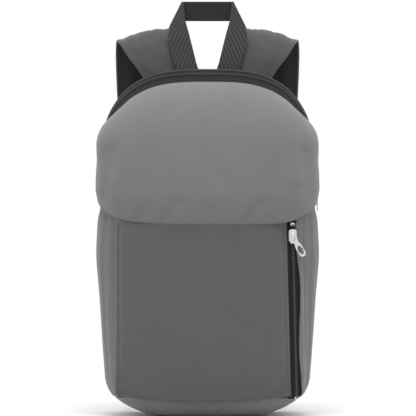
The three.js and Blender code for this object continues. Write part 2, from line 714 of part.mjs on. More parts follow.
// ---- grab handle: a flat loop of webbing standing between the straps ----
const handle = new THREE.Shape([
  new THREE.Vector2(10, 0), new THREE.Vector2(36, 0), new THREE.Vector2(46, handleRise - 38),
  new THREE.Vector2(45, handleRise - 28), new THREE.Vector2(31, handleRise),
  new THREE.Vector2(-31, handleRise), new THREE.Vector2(-45, handleRise - 28),
  new THREE.Vector2(-46, handleRise - 38), new THREE.Vector2(-36, 0), new THREE.Vector2(-10, 0),
  new THREE.Vector2(-19, handleRise - 38), new THREE.Vector2(-22, handleRise - 24),
  new THREE.Vector2(22, handleRise - 24), new THREE.Vector2(19, handleRise - 38),
]);
const handleMesh = add("grab_handle", upright(handle, 2.4, 1.2), webbing);
handleMesh.position.set(0, handleY, handleFoot);
handleMesh.rotation.x = -radians(handleLean);

export default daypack;
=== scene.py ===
import math

import bpy
import numpy as np
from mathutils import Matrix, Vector


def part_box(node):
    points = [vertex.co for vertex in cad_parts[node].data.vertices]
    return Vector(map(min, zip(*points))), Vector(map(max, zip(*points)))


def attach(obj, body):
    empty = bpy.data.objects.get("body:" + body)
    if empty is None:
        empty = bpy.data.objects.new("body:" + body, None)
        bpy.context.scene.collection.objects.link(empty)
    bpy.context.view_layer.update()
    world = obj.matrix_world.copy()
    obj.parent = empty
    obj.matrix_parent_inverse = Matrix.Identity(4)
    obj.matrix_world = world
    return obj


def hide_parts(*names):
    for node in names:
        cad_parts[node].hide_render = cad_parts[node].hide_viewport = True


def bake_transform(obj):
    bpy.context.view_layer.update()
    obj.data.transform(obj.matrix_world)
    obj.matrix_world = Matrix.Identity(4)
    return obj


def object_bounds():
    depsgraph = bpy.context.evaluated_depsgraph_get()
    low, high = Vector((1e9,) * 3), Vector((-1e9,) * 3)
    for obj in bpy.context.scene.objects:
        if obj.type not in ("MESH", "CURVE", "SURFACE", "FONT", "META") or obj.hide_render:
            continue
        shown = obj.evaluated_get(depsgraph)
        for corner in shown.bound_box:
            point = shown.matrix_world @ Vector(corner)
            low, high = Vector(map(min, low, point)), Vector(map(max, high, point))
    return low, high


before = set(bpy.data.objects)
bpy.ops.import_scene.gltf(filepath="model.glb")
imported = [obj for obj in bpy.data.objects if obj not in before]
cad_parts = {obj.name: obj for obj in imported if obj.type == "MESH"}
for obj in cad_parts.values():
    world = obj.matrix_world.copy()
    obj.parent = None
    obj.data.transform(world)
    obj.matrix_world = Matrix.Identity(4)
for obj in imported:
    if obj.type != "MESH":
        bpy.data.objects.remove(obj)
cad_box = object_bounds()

# ---------------------------------------------------------------------------------------------
# The studio: a small pale tabletop in a white room, one broad soft light overhead, two weak ones
# at the front, and a long lens straight in front of the bag, a little above its middle.
mm = 0.001
low, high = cad_box
bag_height = high.z - low.z

bpy.ops.object.select_all(action="DESELECT")
bpy.ops.mesh.primitive_plane_add(size=1.5, location=(0, 0, -0.0006))
floor = bpy.context.object
floor.name = "studio_table"
bpy.ops.object.mode_set(mode="EDIT")
bpy.ops.mesh.bevel(offset=0.3, segments=8, affect="VERTICES")
bpy.ops.object.mode_set(mode="OBJECT")
paper = bpy.data.materials.new("studio_paper")
paper.use_nodes = True
paper.node_tree.nodes["Principled BSDF"].inputs["Base Color"].default_value = (0.86, 0.86, 0.86, 1)
paper.node_tree.nodes["Principled BSDF"].inputs["Roughness"].default_value = 0.9
floor.data.materials.append(paper)

world = bpy.data.worlds.new("studio_world")
bpy.context.scene.world = world
world.use_nodes = True
world.node_tree.nodes["Background"].inputs["Color"].default_value = (1, 1, 1, 1)
world.node_tree.nodes["Background"].inputs["Strength"].default_value = 1.0
bpy.context.scene.view_settings.view_transform = "Standard"


def soft_light(name, place, size, power):
    data = bpy.data.lights.new(name, "AREA")
    data.shape = "SQUARE"
    data.size = size
    data.energy = power
    light = bpy.data.objects.new(name, data)
    bpy.context.scene.collection.objects.link(light)
    light.location = place
    aim = Vector((0, 0, 0.25)) - light.location
    light.rotation_euler = aim.to_track_quat("-Z", "Y").to_euler()


soft_light("overhead", (0, -0.75, 1.9), 1.0, 24)
soft_light("front_left", (-1.4, -2.2, 0.9), 1.2, 1.5)
soft_light("front_right", (1.4, -2.2, 0.9), 1.2, 1.5)

camera_distance = 8.0
camera_elevation = math.radians(1.8)
view_height = 0.4784
camera = bpy.data.objects.new("camera", bpy.data.cameras.new("camera"))
bpy.context.scene.collection.objects.link(camera)
camera.data.sensor_width = 36
camera.data.lens = 36 * camera_distance / view_height
aim = Vector((0.0005, 0, bag_height / 2))
back = Vector((0, -math.cos(camera_elevation), math.sin(camera_elevation)))
camera.location = aim + back * camera_distance
camera.rotation_euler = (-back).to_track_quat("-Z", "Y").to_euler()
camera.data.clip_end = 40
bpy.context.scene.camera = camera

# ---------------------------------------------------------------------------------------------
# Back panel: a foam pad between a black spacer-mesh cover and a thin lining, quilted by one
# upright and two level channels. It is the flat frame that the other panels are sewn round.


class Shade:
    """A shader socket to reckon with: sums and products add Math nodes, node() adds any other."""

    def __init__(self, tree, socket=None):
        self.tree, self.socket = tree, socket

    def node(self, kind, settings=None, inputs=None, output=0):
        made = self.tree.nodes.new("ShaderNode" + kind)
        for key, value in (settings or {}).items():
            setattr(made, key, value)
        for key, value in (inputs or {}).items():
            if isinstance(value, Shade):
                self.tree.links.new(value.socket, made.inputs[key])
            else:
                made.inputs[key].default_value = value
        return Shade(self.tree, made.outputs[output])

    def maths(self, operation, *others):
        values = {i: value for i, value in enumerate((self, *others))}
        return self.node("Math", {"operation": operation}, values)

    def __add__(self, other):
        return self.maths("ADD", other)

    def __sub__(self, other):
        return self.maths("SUBTRACT", other)

    def __mul__(self, other):
        return self.maths("MULTIPLY", other)

    def clipped(self):
        return self.node("Clamp", {}, {"Value": self})


def finish_of(name, constants):
    """A material with its constant sockets set, and the shader to build the rest on."""
    material = bpy.data.materials.new(name)
    material.use_nodes = True
    tree = material.node_tree
    shader = tree.nodes["Principled BSDF"]
    for key, value in constants.items():
        shader.inputs[key].default_value = value
    return material, Shade(tree), shader


def along_cloth(shade):
    """The two directions of a cloth's threads, in metres along the piece's own UV map."""
    place = shade.node("TexCoord", output=2)
    return (shade.node("SeparateXYZ", {}, {0: place}, 0), shade.node("SeparateXYZ", {}, {0: place}, 1))


def wave(value, pitch, phase=0.0):
    """A sine of a distance in metres, one turn to each pitch."""
    return (value * (2 * math.pi / pitch) + phase).maths("SINE")


def connect(shade, shader, colour, roughness=None, height=None, relief=0.3, distance=0.0004):
    """Lead a colour, and if given a roughness and a height for bumps, into the shader."""
    shade.tree.links.new(colour.socket, shader.inputs["Base Color"])
    if roughness is not None:
        shade.tree.links.new(roughness.socket, shader.inputs["Roughness"])
    if height is not None:
        bump = shade.node("Bump", {}, {"Strength": relief, "Distance": distance, "Height": height})
        shade.tree.links.new(bump.socket, shader.inputs["Normal"])


def mixed(shade, factor, dark, light):
    return shade.node("Mix", {"data_type": "RGBA"}, {0: factor, 6: (*dark, 1), 7: (*light, 1)}, 2)


def woven(name, colour, contrast=0.16, thread=0.55 * mm, relief=0.35, sheen=0.25):
    """Plain-weave polyester: fine crossing threads, slubs along the weft, and faint mottling."""
    material, shade, shader = finish_of(name, {
        "Sheen Weight": sheen, "Sheen Roughness": 0.55, "Specular IOR Level": 0.25})
    across, up = along_cloth(shade)
    weave = wave(across, thread) * wave(up, thread)
    place = shade.node("TexCoord", output=3)
    mottle = shade.node("TexNoise", {}, {"Vector": place, "Scale": 38.0, "Detail": 3.0})
    slub_place = shade.node("CombineXYZ", {}, {0: across * 260, 1: up * 1700})
    slub = shade.node("TexNoise", {}, {"Vector": slub_place, "Scale": 1.0, "Detail": 2.0})
    tone = (weave * 0.18 + slub * 0.55 + mottle * 0.45).clipped()
    dark = tuple(c * (1 - contrast) for c in colour)
    light = tuple(c * (1 + contrast) for c in colour)
    connect(shade, shader, mixed(shade, tone, dark, light), slub * 0.12 + 0.74,
            weave + slub * 0.8, relief, 0.00012)
    return material


def spacer_mesh(name, colour):
    """Black knitted spacer mesh: rows of small round holes, staggered, with painted shade darkening the
    holes.
    """
    material, shade, shader = finish_of(name, {"Sheen Weight": 0.15, "Specular IOR Level": 0.2})
    across, up = along_cloth(shade)
    pitch = 3.2 * mm
    holes = wave(across, pitch) * wave(up, pitch * 1.2) + wave(across, pitch / 2, 1.57) * 0.3
    ridge = (holes * 1.6 + 0.75).clipped()
    knit = wave(across + up * 0.6, 0.8 * mm) * 0.08
    # The holes are painted at a third of the mesh's colour: painted shade in the recesses.
    dark = tuple(c * 0.35 for c in colour)
    connect(shade, shader, mixed(shade, (ridge + knit).clipped(), dark, colour), ridge * -0.1 + 0.9,
            ridge + knit, 0.6, 0.0006)
    return material


def panel(name, points, thickness, outer, inner, centre):
    """A sewn panel whose outer face is a grid of points; its cloth grows towards the centre."""
    rows, columns = points.shape[:2]
    index = np.arange(rows * columns).reshape(rows, columns)
    faces = np.stack([index[:-1, :-1], index[:-1, 1:], index[1:, 1:], index[1:, :-1]], -1)
    faces = faces.reshape(-1, 4)
    flat = points.reshape(-1, 3)
    a, b, c, d = flat[faces].transpose(1, 0, 2)
    if (np.cross(c - a, d - b) * ((a + c) / 2 - np.array(centre))).sum() < 0:
        faces = faces[:, ::-1]
    mesh = bpy.data.meshes.new(name)
    mesh.from_pydata(flat.tolist(), [], faces.tolist())
    across = run_length(points, 1)
    across = across - across[:, columns // 2: columns // 2 + 1]
    up = run_length(points, 0)
    lay_uv(mesh, np.stack([across, up], -1).reshape(-1, 2))
    piece = bpy.data.objects.new(name, mesh)
    bpy.context.scene.collection.objects.link(piece)
    mesh.materials.append(outer)
    mesh.materials.append(inner)
    solidify = piece.modifiers.new("cloth", "SOLIDIFY")
    solidify.thickness = thickness
    solidify.offset = -1
    solidify.material_offset = 1
    apply_modifiers(piece)
    return piece


def lay_uv(mesh, uv):
    layer = mesh.uv_layers.new(name="UVMap")
    corner = np.zeros(len(mesh.loops), np.int32)
    mesh.loops.foreach_get("vertex_index", corner)
    layer.data.foreach_set("uv", uv[corner].astype(np.float32).ravel())


def apply_modifiers(piece, angle=50):
    bpy.ops.object.select_all(action="DESELECT")
    bpy.context.view_layer.objects.active = piece
    piece.select_set(True)
    for modifier in list(piece.modifiers):
        bpy.ops.object.modifier_apply(modifier=modifier.name)
    bpy.ops.object.shade_smooth_by_angle(angle=math.radians(angle))


def run_length(points, axis):
    """Distance along a grid's rows or columns, from its first point."""
    steps = np.linalg.norm(np.diff(points, axis=axis), axis=-1)
    zero = np.zeros_like(np.take(steps, [0], axis=axis))
    return np.concatenate([zero, np.cumsum(steps, axis=axis)], axis=axis)


def grid(columns, rows):
    return np.meshgrid(np.linspace(0, 1, columns + 1), np.linspace(0, 1, rows + 1))


def smooth(value, start, end):
    t = np.clip((value - start) / (end - start), 0, 1)
    return t * t * (3 - 2 * t)


def puckers(along, distance, pitch, depth, reach, seed):
    """Uneven gathers along a seam, strongest at the stitches and gone at reach."""
    rng = np.random.default_rng(seed)
    ripple = sum(np.sin(along * 2 * math.pi / (pitch * k) + rng.uniform(0, 6.28)) / n
                 for n, k in enumerate((1.0, 1.37, 2.3), 1))
    return depth * ripple * np.exp(-np.maximum(distance, 0) / reach)


back_low, back_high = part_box("back_panel_cover")
seam_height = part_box("upper_front_panel")[0].z
arch_power = 3.1
inside = (0, 0.01, 0.2)
shell_cloth = woven("grey_polyester", (0.108, 0.108, 0.108))
black_mesh = spacer_mesh("black_spacer_mesh", (0.026, 0.026, 0.026))
black_lining = woven("black_lining", (0.014, 0.014, 0.014), thread=0.4 * mm, sheen=0.1)
bag_half_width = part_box("side_gusset_right")[1].x
hip_height = 190 * mm
base_taper = 12 * mm
corner_width, corner_height = 60 * mm, 44 * mm


def side_half_width(z):
    """Half the bag's width at a height: full at the hips, drawn in and rounded at the foot."""
    taper = base_taper * np.maximum(0, 1 - z / hip_height) ** 1.6
    corner = np.clip(1 - z / corner_height, 0, 1)
    return bag_half_width - taper - corner_width * (1 - np.sqrt(1 - corner * corner))


def back_outline(columns, lower_rows, upper_rows, draw_in):
    """The back panel's outline as a grid of x and z: straight sides below, the arch above."""
    u, v = grid(columns, lower_rows)
    u = np.sin((2 * u - 1) * math.pi / 2)
    z = back_low.z + (seam_height - back_low.z) * v
    side = side_half_width(z) * back_high.x / side_half_width(np.array(seam_height)) - draw_in
    lower = np.stack([u * side, z], -1)
    u, v = grid(columns, upper_rows)
    u, v = np.sin((2 * u - 1) * math.pi / 2), np.sin(v * math.pi / 2)
    x = (back_high.x - draw_in) * u * (1 - v ** arch_power / 2) ** (1 / arch_power)
    rise = (back_high.z - seam_height - draw_in) * v
    z = seam_height + rise * (1 - np.abs(u) ** arch_power / 2) ** (1 / arch_power)
    return np.concatenate([lower, np.stack([x, z], -1)[1:]], 0)


quilt_lines, quilt_width = (130 * mm, 262 * mm), 5.5 * mm
flat = back_outline(96, 60, 50, 0)
x, z = flat[..., 0], flat[..., 1]
points = np.stack([x, np.full_like(x, back_high.y), z], -1)
edge = np.minimum(run_length(points, 1), run_length(points[:, ::-1], 1)[:, ::-1])
edge = np.minimum(edge, run_length(points[::-1], 0)[::-1])
edge = np.minimum(edge, run_length(points, 0))
pads = 4.5 * mm * smooth(edge, 7 * mm, 26 * mm)
for line in quilt_lines:
    pads = pads * (1 - 0.85 * np.exp(-((z - line + 0.25 * np.abs(x)) / quilt_width) ** 2))
pads = pads * (1 - 0.9 * np.exp(-(x / (8 * mm)) ** 2))
pads = pads - 1.5 * mm + puckers(x + z, np.abs(edge - 6 * mm), 11 * mm, 0.35 * mm, 8 * mm, 3)
points[..., 1] += pads
back_panel = panel("back_panel", points, 9 * mm, black_mesh, black_lining, inside)
for vertex in back_panel.data.vertices:
    vertex.co.z = max(vertex.co.z, back_low.z)
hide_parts("back_panel_cover", "back_foam_pad")
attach(back_panel, "bag")

lining_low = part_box("back_lining")[0]
flat = back_outline(40, 24, 20, 1 * mm)
x, z = flat[..., 0], flat[..., 1]
loose = 1.2 * mm * np.sin(z * 55 + np.sin(x * 40) * 2) * np.cos(x * 35)
points = np.stack([x, lining_low.y + 1.5 * mm + loose, z], -1)
back_lining = panel("inner_back_lining", points, 0.5 * mm, black_lining, black_lining, (0, 1, 0.2))
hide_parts("back_lining")
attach(back_lining, "bag")

# ---------------------------------------------------------------------------------------------
# Side gussets: one upright strip of shell polyester each side, from the front seam round to the
# back panel, with soft upright folds where the filled bag pulls it in.


def pushed(points, amount, centre):
    """The grid moved out along its own normals by amount, in metres."""
    normal = np.cross(np.gradient(points, axis=1), np.gradient(points, axis=0))
    normal /= np.linalg.norm(normal, axis=-1, keepdims=True) + 1e-12
    if (normal * (points - np.array(centre))).sum() < 0:
        normal = -normal
    return points + normal * amount[..., None]


front_seam_x, front_y, back_seam_y = 106 * mm, -48 * mm, 54.5 * mm
widest_y, gusset_foot = -18 * mm, 23.3 * mm


def side_x(y, z):
    """How far out a gusset stands, from its front seam round its widest place to the back."""
    width = side_half_width(z)
    seam = np.minimum(front_seam_x, width - 6 * mm)
    ahead = width - (width - seam) * ((widest_y - y) / (30 * mm)) ** 2
    behind = width - 12 * mm * (np.maximum(y - widest_y, 0) / (68.6 * mm)) ** 1.5
    return np.where(y < widest_y, ahead, behind)


for side, seed in ((-1, 11), (1, 12)):
    u, v = grid(56, 110)
    y = front_y + (back_seam_y - front_y) * u
    top = (232.5 + 13.5 * smooth(y, front_y, -14 * mm)) * mm
    z = gusset_foot + (top - gusset_foot) * v
    points = np.stack([side * side_x(y, z), y, z], -1)
    from_front, from_back = (y - front_y), (back_seam_y - y)
    sag = 2.3 * mm * np.exp(-((z - 186 * mm) / (34 * mm)) ** 2) - 2.8 * mm * smooth(z, 222 * mm, 243 * mm)
    sag += puckers(z, from_front, 21 * mm, 0.3 * mm, 9 * mm, seed)
    sag += puckers(z + 0.3 * y, from_back, 27 * mm, 0.5 * mm, 14 * mm, seed + 5)
    sag += puckers(y, z - gusset_foot, 19 * mm, 0.7 * mm, 16 * mm, seed + 9)
    sag += puckers(y, top - z, 17 * mm, 0.5 * mm, 12 * mm, seed + 3)
    for place, width, depth in ((-37, 3.6, 1.2), (-25, 4.5, 0.7), (6, 8, 2.2), (30, 7, 1.8)):
        wander = place * mm + 3 * mm * np.sin(z * 24 + seed + place)
        sag -= depth * mm * np.exp(-((y - wander) / (width * mm)) ** 2) * smooth(v, 0, 0.12)
    edge = np.minimum(from_front, from_back)
    sag = sag * smooth(edge, 0, 6 * mm) * smooth(np.minimum(z - gusset_foot, top - z), -2 * mm, 6 * mm)
    points = pushed(points, sag, inside)
    hand = "left" if side < 0 else "right"
    gusset = panel("gusset_" + hand, points, 1.2 * mm, shell_cloth, black_lining, inside)
    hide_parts("side_gusset_" + hand)
    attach(gusset, "bag")

# ---------------------------------------------------------------------------------------------
# Bottom panel: a shallow tray of the grey polyester, coloured paler as painted light on its downward face,
# gathered a little where it turns up to the seam, and sewn to the gussets, the pocket and the back panel.
base_rim, base_power, base_middle_y, base_depth = 21 * mm, 4, 1.3 * mm, 49.3 * mm
turn, ring = grid(160, 44)
turn, ring = turn * 2 * math.pi, np.clip(ring, 0.004, 1)
u, v = ring * np.cos(turn), ring * np.sin(turn)
stretch = ring / (np.abs(u) ** base_power + np.abs(v) ** base_power) ** (1 / base_power)
u, v = u * stretch, v * stretch
x = (float(side_half_width(np.array(base_rim))) - 0.5 * mm) * u
y = base_middle_y + base_depth * v
z = base_rim * (np.maximum(0, ring - 0.5) / 0.5) ** 2
points = np.stack([x, y, z], -1)
gathers = puckers(turn * 80 * mm, np.abs(ring - 0.93) * 50 * mm, 13 * mm, 0.5 * mm, 10 * mm, 21)
gathers = (gathers - 0.5 * mm) * smooth(ring, 0.56, 0.75)
points = pushed(points, gathers, (0, 0, 0.2))
points[:, -1] = points[:, 0]
points[..., 2] = np.maximum(points[..., 2], 0)
# A paler copy of the grey polyester: painted light on the downward-facing bottom panel.
base_cloth_painted_light = woven("grey_polyester_base_painted_light", (0.15, 0.15, 0.15))
bottom_panel = panel("bottom_panel", points, 1.2 * mm, base_cloth_painted_light, black_lining, (0, 0, 0.2))
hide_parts("base_panel")
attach(bottom_panel, "bag")

# ---------------------------------------------------------------------------------------------
# Inner front panel: the thin black lining cloth behind the pocket, slightly slack.
inner_low, inner_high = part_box("front_inner_panel")
u, v = grid(50, 50)
z = inner_low.z + (inner_high.z - inner_low.z) * v
half = np.minimum(inner_high.x, side_half_width(z) - 10 * mm)
x = half * (2 * u - 1)
slack = 1.0 * mm * np.sin(z * 60 + np.sin(x * 50)) * np.cos(x * 28)
points = np.stack([x, inner_low.y + 1 * mm + slack, z], -1)
pocket_lining = panel("pocket_lining", points, 0.5 * mm, black_lining, black_lining, (0, 0.3, 0.2))
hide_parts("front_inner_panel")
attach(pocket_lining, "bag")

# ---------------------------------------------------------------------------------------------
# Front pocket: one flat-cut panel of the grey polyester, coloured darker as painted shade, laid in the seams
# at the top, the left and the foot, and topstitched to the zip tape on the right. The foot seam hangs lower
# in the middle.
# A darker copy of the grey polyester: painted shade on the pocket.
pocket_cloth_painted_shade = woven("grey_polyester_painted_shade", (0.072, 0.072, 0.072), thread=0.5 * mm)


def sewing_thread():
    """Grey spun polyester thread, its tone broken up by the twist."""
    material, shade, shader = finish_of("sewing_thread", {"Roughness": 0.6, "Specular IOR Level": 0.3})
    place = shade.node("TexCoord", output=3)
    twist = shade.node("TexNoise", {}, {"Vector": place, "Scale": 900.0, "Detail": 1.0})
    connect(shade, shader, mixed(shade, twist, (0.03, 0.03, 0.03), (0.09, 0.09, 0.09)))
    return material


thread_grey = sewing_thread()


def outward(piece):
    """Turn every face of a closed piece outwards."""
    bpy.ops.object.select_all(action="DESELECT")
    bpy.context.view_layer.objects.active = piece
    piece.select_set(True)
    bpy.ops.object.mode_set(mode="EDIT")
    bpy.ops.mesh.select_all(action="SELECT")
    bpy.ops.mesh.normals_make_consistent(inside=False)
    bpy.ops.object.mode_set(mode="OBJECT")


def spread(points, normals, places, reach=0.2 * mm):
    """Where a path is at each place along it, with its direction, its side and its up."""
    steps = np.linalg.norm(np.diff(points, axis=0), axis=1)
    run = np.concatenate([[0], np.cumsum(steps)])
    before, after = (np.stack([np.interp(places + step, run, points[:, i]) for i in range(3)], -1)
                     for step in (-reach, reach))
    along = after - before
    along /= np.linalg.norm(along, axis=1, keepdims=True) + 1e-12
    up = np.stack([np.interp(places, run, normals[:, i]) for i in range(3)], -1)
    side = np.cross(along, up)
    side /= np.linalg.norm(side, axis=1, keepdims=True) + 1e-12
    return (before + after) / 2, along, side, np.cross(side, along)


def length_of(points):
    return np.linalg.norm(np.diff(points, axis=0), axis=1).sum()


def bead_row(name, frames, profile, sides, material, first_corner=0.5):
    """One small lofted bead at each frame; profile lists (along, side, up, half width, half height)."""
    verts, faces = [], []
    for c, a, s, n in zip(*frames):
        first = len(verts)
        for reach, aside, lift, wide, tall in profile:
            for k in range(sides):
                angle = (k + first_corner) * 2 * math.pi / sides
                verts.append(c + a * reach + s * (aside + math.cos(angle) * wide)
                             + n * (lift + math.sin(angle) * tall))
        for r in range(len(profile) - 1):
            for k in range(sides):
                q, w = first + r * sides + k, first + r * sides + (k + 1) % sides
                faces.append((q, w, w + sides, q + sides))
        last = first + (len(profile) - 1) * sides
        faces.append(tuple(range(first + sides - 1, first - 1, -1)))
        faces.append(tuple(range(last, last + sides)))
    mesh = bpy.data.meshes.new(name)
    mesh.from_pydata([tuple(p) for p in verts], [], faces)
    mesh.materials.append(material)
    piece = bpy.data.objects.new(name, mesh)
    bpy.context.scene.collection.objects.link(piece)
    outward(piece)
    for face in mesh.polygons:
        face.use_smooth = True
    return piece


def stitches(name, points, normals, material, pitch=3.0 * mm, length=2.3 * mm, thick=0.5 * mm):
    """A row of lockstitches along a path: each one a short, tapered, six-sided loop of thread."""
    places = np.arange(pitch / 2, length_of(points) - length / 2, pitch)
    r = thick / 2
    profile = ((-length / 2, 0, -r, r * 0.4, r * 0.4), (-length / 4, 0, 0.2 * r, r, r),
               (length / 4, 0, 0.2 * r, r, r), (length / 2, 0, -r, r * 0.4, r * 0.4))
    return bead_row(name, spread(points, normals, places), profile, 6, material)


pocket_foot, pocket_top = 24 * mm, 221.4 * mm
pocket_y, pocket_bulge = -50.3 * mm, 19 * mm


def pocket_zip_x(z):
    """The middle of the pocket zip, which leans out a little towards its foot."""
    return 97 * mm + 5 * mm * (221 * mm - z) / (197 * mm)


def pocket_surface(u, v):
    """The filled pocket: nearly flat, turned back at its sides and foot, its foot seam dipping."""
    left = -np.minimum(front_seam_x, side_half_width(pocket_foot + (pocket_top - pocket_foot) * v) - 6 * mm)
    dip = 9.5 * mm * np.maximum(0, 1 - np.abs(2 * u - 1) ** 2.4) ** 1.2 * (1 - v) ** 3
    top = pocket_top + 22 * mm * np.abs(2.04 * (u - 0.5)) ** 8 * 0.25
    z = pocket_foot - dip + (top - pocket_foot + dip) * v
    x = left + (pocket_zip_x(z) - 6.65 * mm - left) * u
    across = np.maximum(0, 1 - np.abs(2 * u - 1) ** 4) ** 0.6
    upward = np.maximum(0, 1 - (1 - v) ** 6) ** 0.6
    return np.stack([x, pocket_y - pocket_bulge * across * upward, z], -1)


def normals_of(points, centre):
    return pushed(points, np.ones(points.shape[:2]), centre) - points


def valley(x, z, start, end, width, depth):
    """A soft dent along a line between two places, seen from the front."""
    a, b = np.array(start, float), np.array(end, float)
    along = b - a
    t = np.clip(((x - a[0]) * along[0] + (z - a[1]) * along[1]) / (along @ along), 0, 1)
    off = np.hypot(x - a[0] - t * along[0], z - a[1] - t * along[1])
    return -depth * np.exp(-(off / width) ** 2)


u, v = grid(130, 130)
u = 0.5 - 0.5 * np.cos(u * math.pi)
v = v ** 1.35
points = pocket_surface(u, v)
x, z = points[..., 0], points[..., 2]
from_left, from_right = x - x[:, :1], x[:, -1:] - x
from_foot, from_top = z - z[:1], z[-1:] - z
sag = puckers(z, from_left, 24 * mm, 0.35 * mm, 13 * mm, 31)
sag += puckers(z, from_right, 17 * mm, 0.3 * mm, 8 * mm, 32)
sag += puckers(x, from_foot, 26 * mm, 0.6 * mm, 16 * mm, 33)
sag += puckers(x, from_top, 31 * mm, 0.35 * mm, 18 * mm, 34)
sag += valley(x, z, (-0.098, 0.03), (-0.045, 0.085), 12 * mm, 1.4 * mm)
sag += valley(x, z, (0.085, 0.03), (0.05, 0.10), 14 * mm, 1.2 * mm)
sag += valley(x, z, (-0.05, 0.2), (0.02, 0.07), 26 * mm, 0.9 * mm)
sag += valley(x, z, (0.088, 0.185), (0.055, 0.1), 14 * mm, 0.9 * mm)
edge = np.minimum(np.minimum(from_left, from_right), np.minimum(from_foot, from_top))
sag = sag * smooth(edge, -1 * mm, 5 * mm) - 0.9 * mm * np.exp(-((edge - 5 * mm) / (1.3 * mm)) ** 2)
pocket_points = pushed(points, sag, inside)
pocket_front = panel("pocket_front", pocket_points, 1.0 * mm, pocket_cloth_painted_shade, black_lining, inside)
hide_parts("pocket_panel")
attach(pocket_front, "bag")

for name, inset in (("pocket_left_stitches", 3 * mm), ("pocket_right_stitches", -3 * mm)):
    seam_line = []
    for row in pocket_points[3:-1]:
        run = row[:, 0] - row[0 if inset > 0 else -1, 0]
        seam_line.append([np.interp(inset, run, row[:, i]) for i in range(3)])
    facing = np.tile([0.0, -1.0, 0.0], (len(seam_line), 1))
    seam = stitches(name, np.array(seam_line), facing, thread_grey)
    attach(seam, "bag")

# ---------------------------------------------------------------------------------------------
# Top gusset: the strip of shell polyester between the main zip and the back panel, rounded over
# the crown of the bag.
seam_z = 221 * mm
hem_half_width, flap_height = 122 * mm, 162 * mm
band_depth, band_rise, band_draw = 24 * mm, 14 * mm, 3 * mm
hem_shoulder, rear_shoulder = 5 * mm, 11.5 * mm
rear_half_width, rear_height = 114 * mm, 171 * mm
crown_inside = (0, 0.03, 0.25)


def arch(along, half_width, height):
    """A point of the bag's arched top, from its left foot (0) over the crest to the right (1)."""
    u = np.clip((along - 0.5) * 4, -1, 1)
    v = np.minimum(1, 4 * np.minimum(along, 1 - along))
    x = half_width * u * (1 - v ** arch_power / 2) ** (1 / arch_power)
    z = seam_z + height * v * (1 - np.abs(u) ** arch_power / 2) ** (1 / arch_power)
    return x, z


def hem_y(z):
    """The hem's place from front to back, further back over the crest than at the sides."""
    return -8 * mm + 14 * mm * smooth(z, 300 * mm, 383 * mm)


def zip_band(along, share):
    """The main zip's band: share 0 is the front panel's hem, 1 the seam with the top gusset."""
    hem_x, hem_z = arch(along, hem_half_width, flap_height)
    shoulder = smooth(hem_z, 287 * mm, 335 * mm)
    hem_x = hem_x * (1 + hem_shoulder * shoulder / hem_half_width)
    half_width = hem_half_width - band_draw + rear_shoulder * shoulder
    rear_x, rear_z = arch(along, half_width, flap_height + band_rise)
    y = hem_y(hem_z)
    return np.stack([hem_x + (rear_x - hem_x) * share, y + band_depth * share,
                     hem_z + (rear_z - hem_z) * share], -1)


def foot_along(height):
    """How far round the arch the sides stand at a height above the seam."""
    return (height - seam_z) / (flap_height * 0.5 ** (1 / arch_power)) / 4


zip_start = foot_along(243 * mm)
u, v = grid(30, 260)
along = zip_start + (1 - 2 * zip_start) * v
front_edge = zip_band(along, 1.0)
rear_x, rear_z = arch(along, rear_half_width, rear_height)
rear_edge = np.stack([rear_x, np.full_like(rear_x, back_seam_y), rear_z], -1)
points = front_edge + (rear_edge - front_edge) * u[..., None]
crown = 2.2 * mm * np.sin(u * math.pi)
crown = crown + puckers(along * 600 * mm, (1 - u) * 22 * mm, 16 * mm, 0.4 * mm, 9 * mm, 41)
crown = crown * smooth(np.minimum(u, 1 - u), 0, 0.12)
points = pushed(points, crown, crown_inside)
crown_panel = panel("crown_panel", points, 1.2 * mm, shell_cloth, black_lining, crown_inside)
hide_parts("top_gusset")
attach(crown_panel, "bag")

# ---------------------------------------------------------------------------------------------
# Main zip: two knitted black tapes sewn to the front panel and to the top gusset, and two nylon
# coils that mesh between them, from one hip over the crown to the other.


def zip_tape_cloth():
    """Knitted tape: fine ribs along its length, crossed by finer rows of loops."""
    material, shade, shader = finish_of("knitted_zip_tape", {
        "Sheen Weight": 0.05, "Sheen Roughness": 0.5, "Specular IOR Level": 0.15})
    across, up = along_cloth(shade)
    ribs = wave(across, 1.3 * mm)
    loops = wave(up, 0.7 * mm) * wave(across, 0.65 * mm)
    tone = (ribs * 0.3 + loops * 0.3 + 0.4).clipped()
    connect(shade, shader, mixed(shade, tone, (0.004, 0.004, 0.004), (0.02, 0.02, 0.02)),
            tone * -0.15 + 0.85, ribs + loops * 0.6, 0.5, 0.0002)
    return material


def coil_nylon():
    """Black nylon monofilament: glossy, with slight streaks from being drawn and set."""
    material, shade, shader = finish_of("coil_nylon", {"Specular IOR Level": 0.5})
    place = shade.node("TexCoord", output=3)
    streak = shade.node("TexNoise", {}, {"Vector": place, "Scale": 420.0, "Detail": 2.0})
    connect(shade, shader, mixed(shade, streak, (0.012, 0.012, 0.012), (0.04, 0.04, 0.04)),
            streak * 0.2 + 0.24, streak, 0.15, 0.0001)
    return material


tape_cloth, coil_black = zip_tape_cloth(), coil_nylon()
coil_share, band_width = 0.6, 27.8 * mm
tooth_pitch, tape_sink = 1.7 * mm, 0.4 * mm


def tape(name, start, end, share_from, share_to, replaced, body):
    """One tape of the main zip, between two shares of the band's width."""
    u, v = grid(14, 300)
    along = start + (end - start) * v
    share = share_from + (share_to - share_from) * u
    points = pushed(zip_band(along, share), -tape_sink + 0 * u, crown_inside)
    piece = panel(name, points, 0.9 * mm, tape_cloth, tape_cloth, crown_inside)
    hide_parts(replaced)
    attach(piece, body)


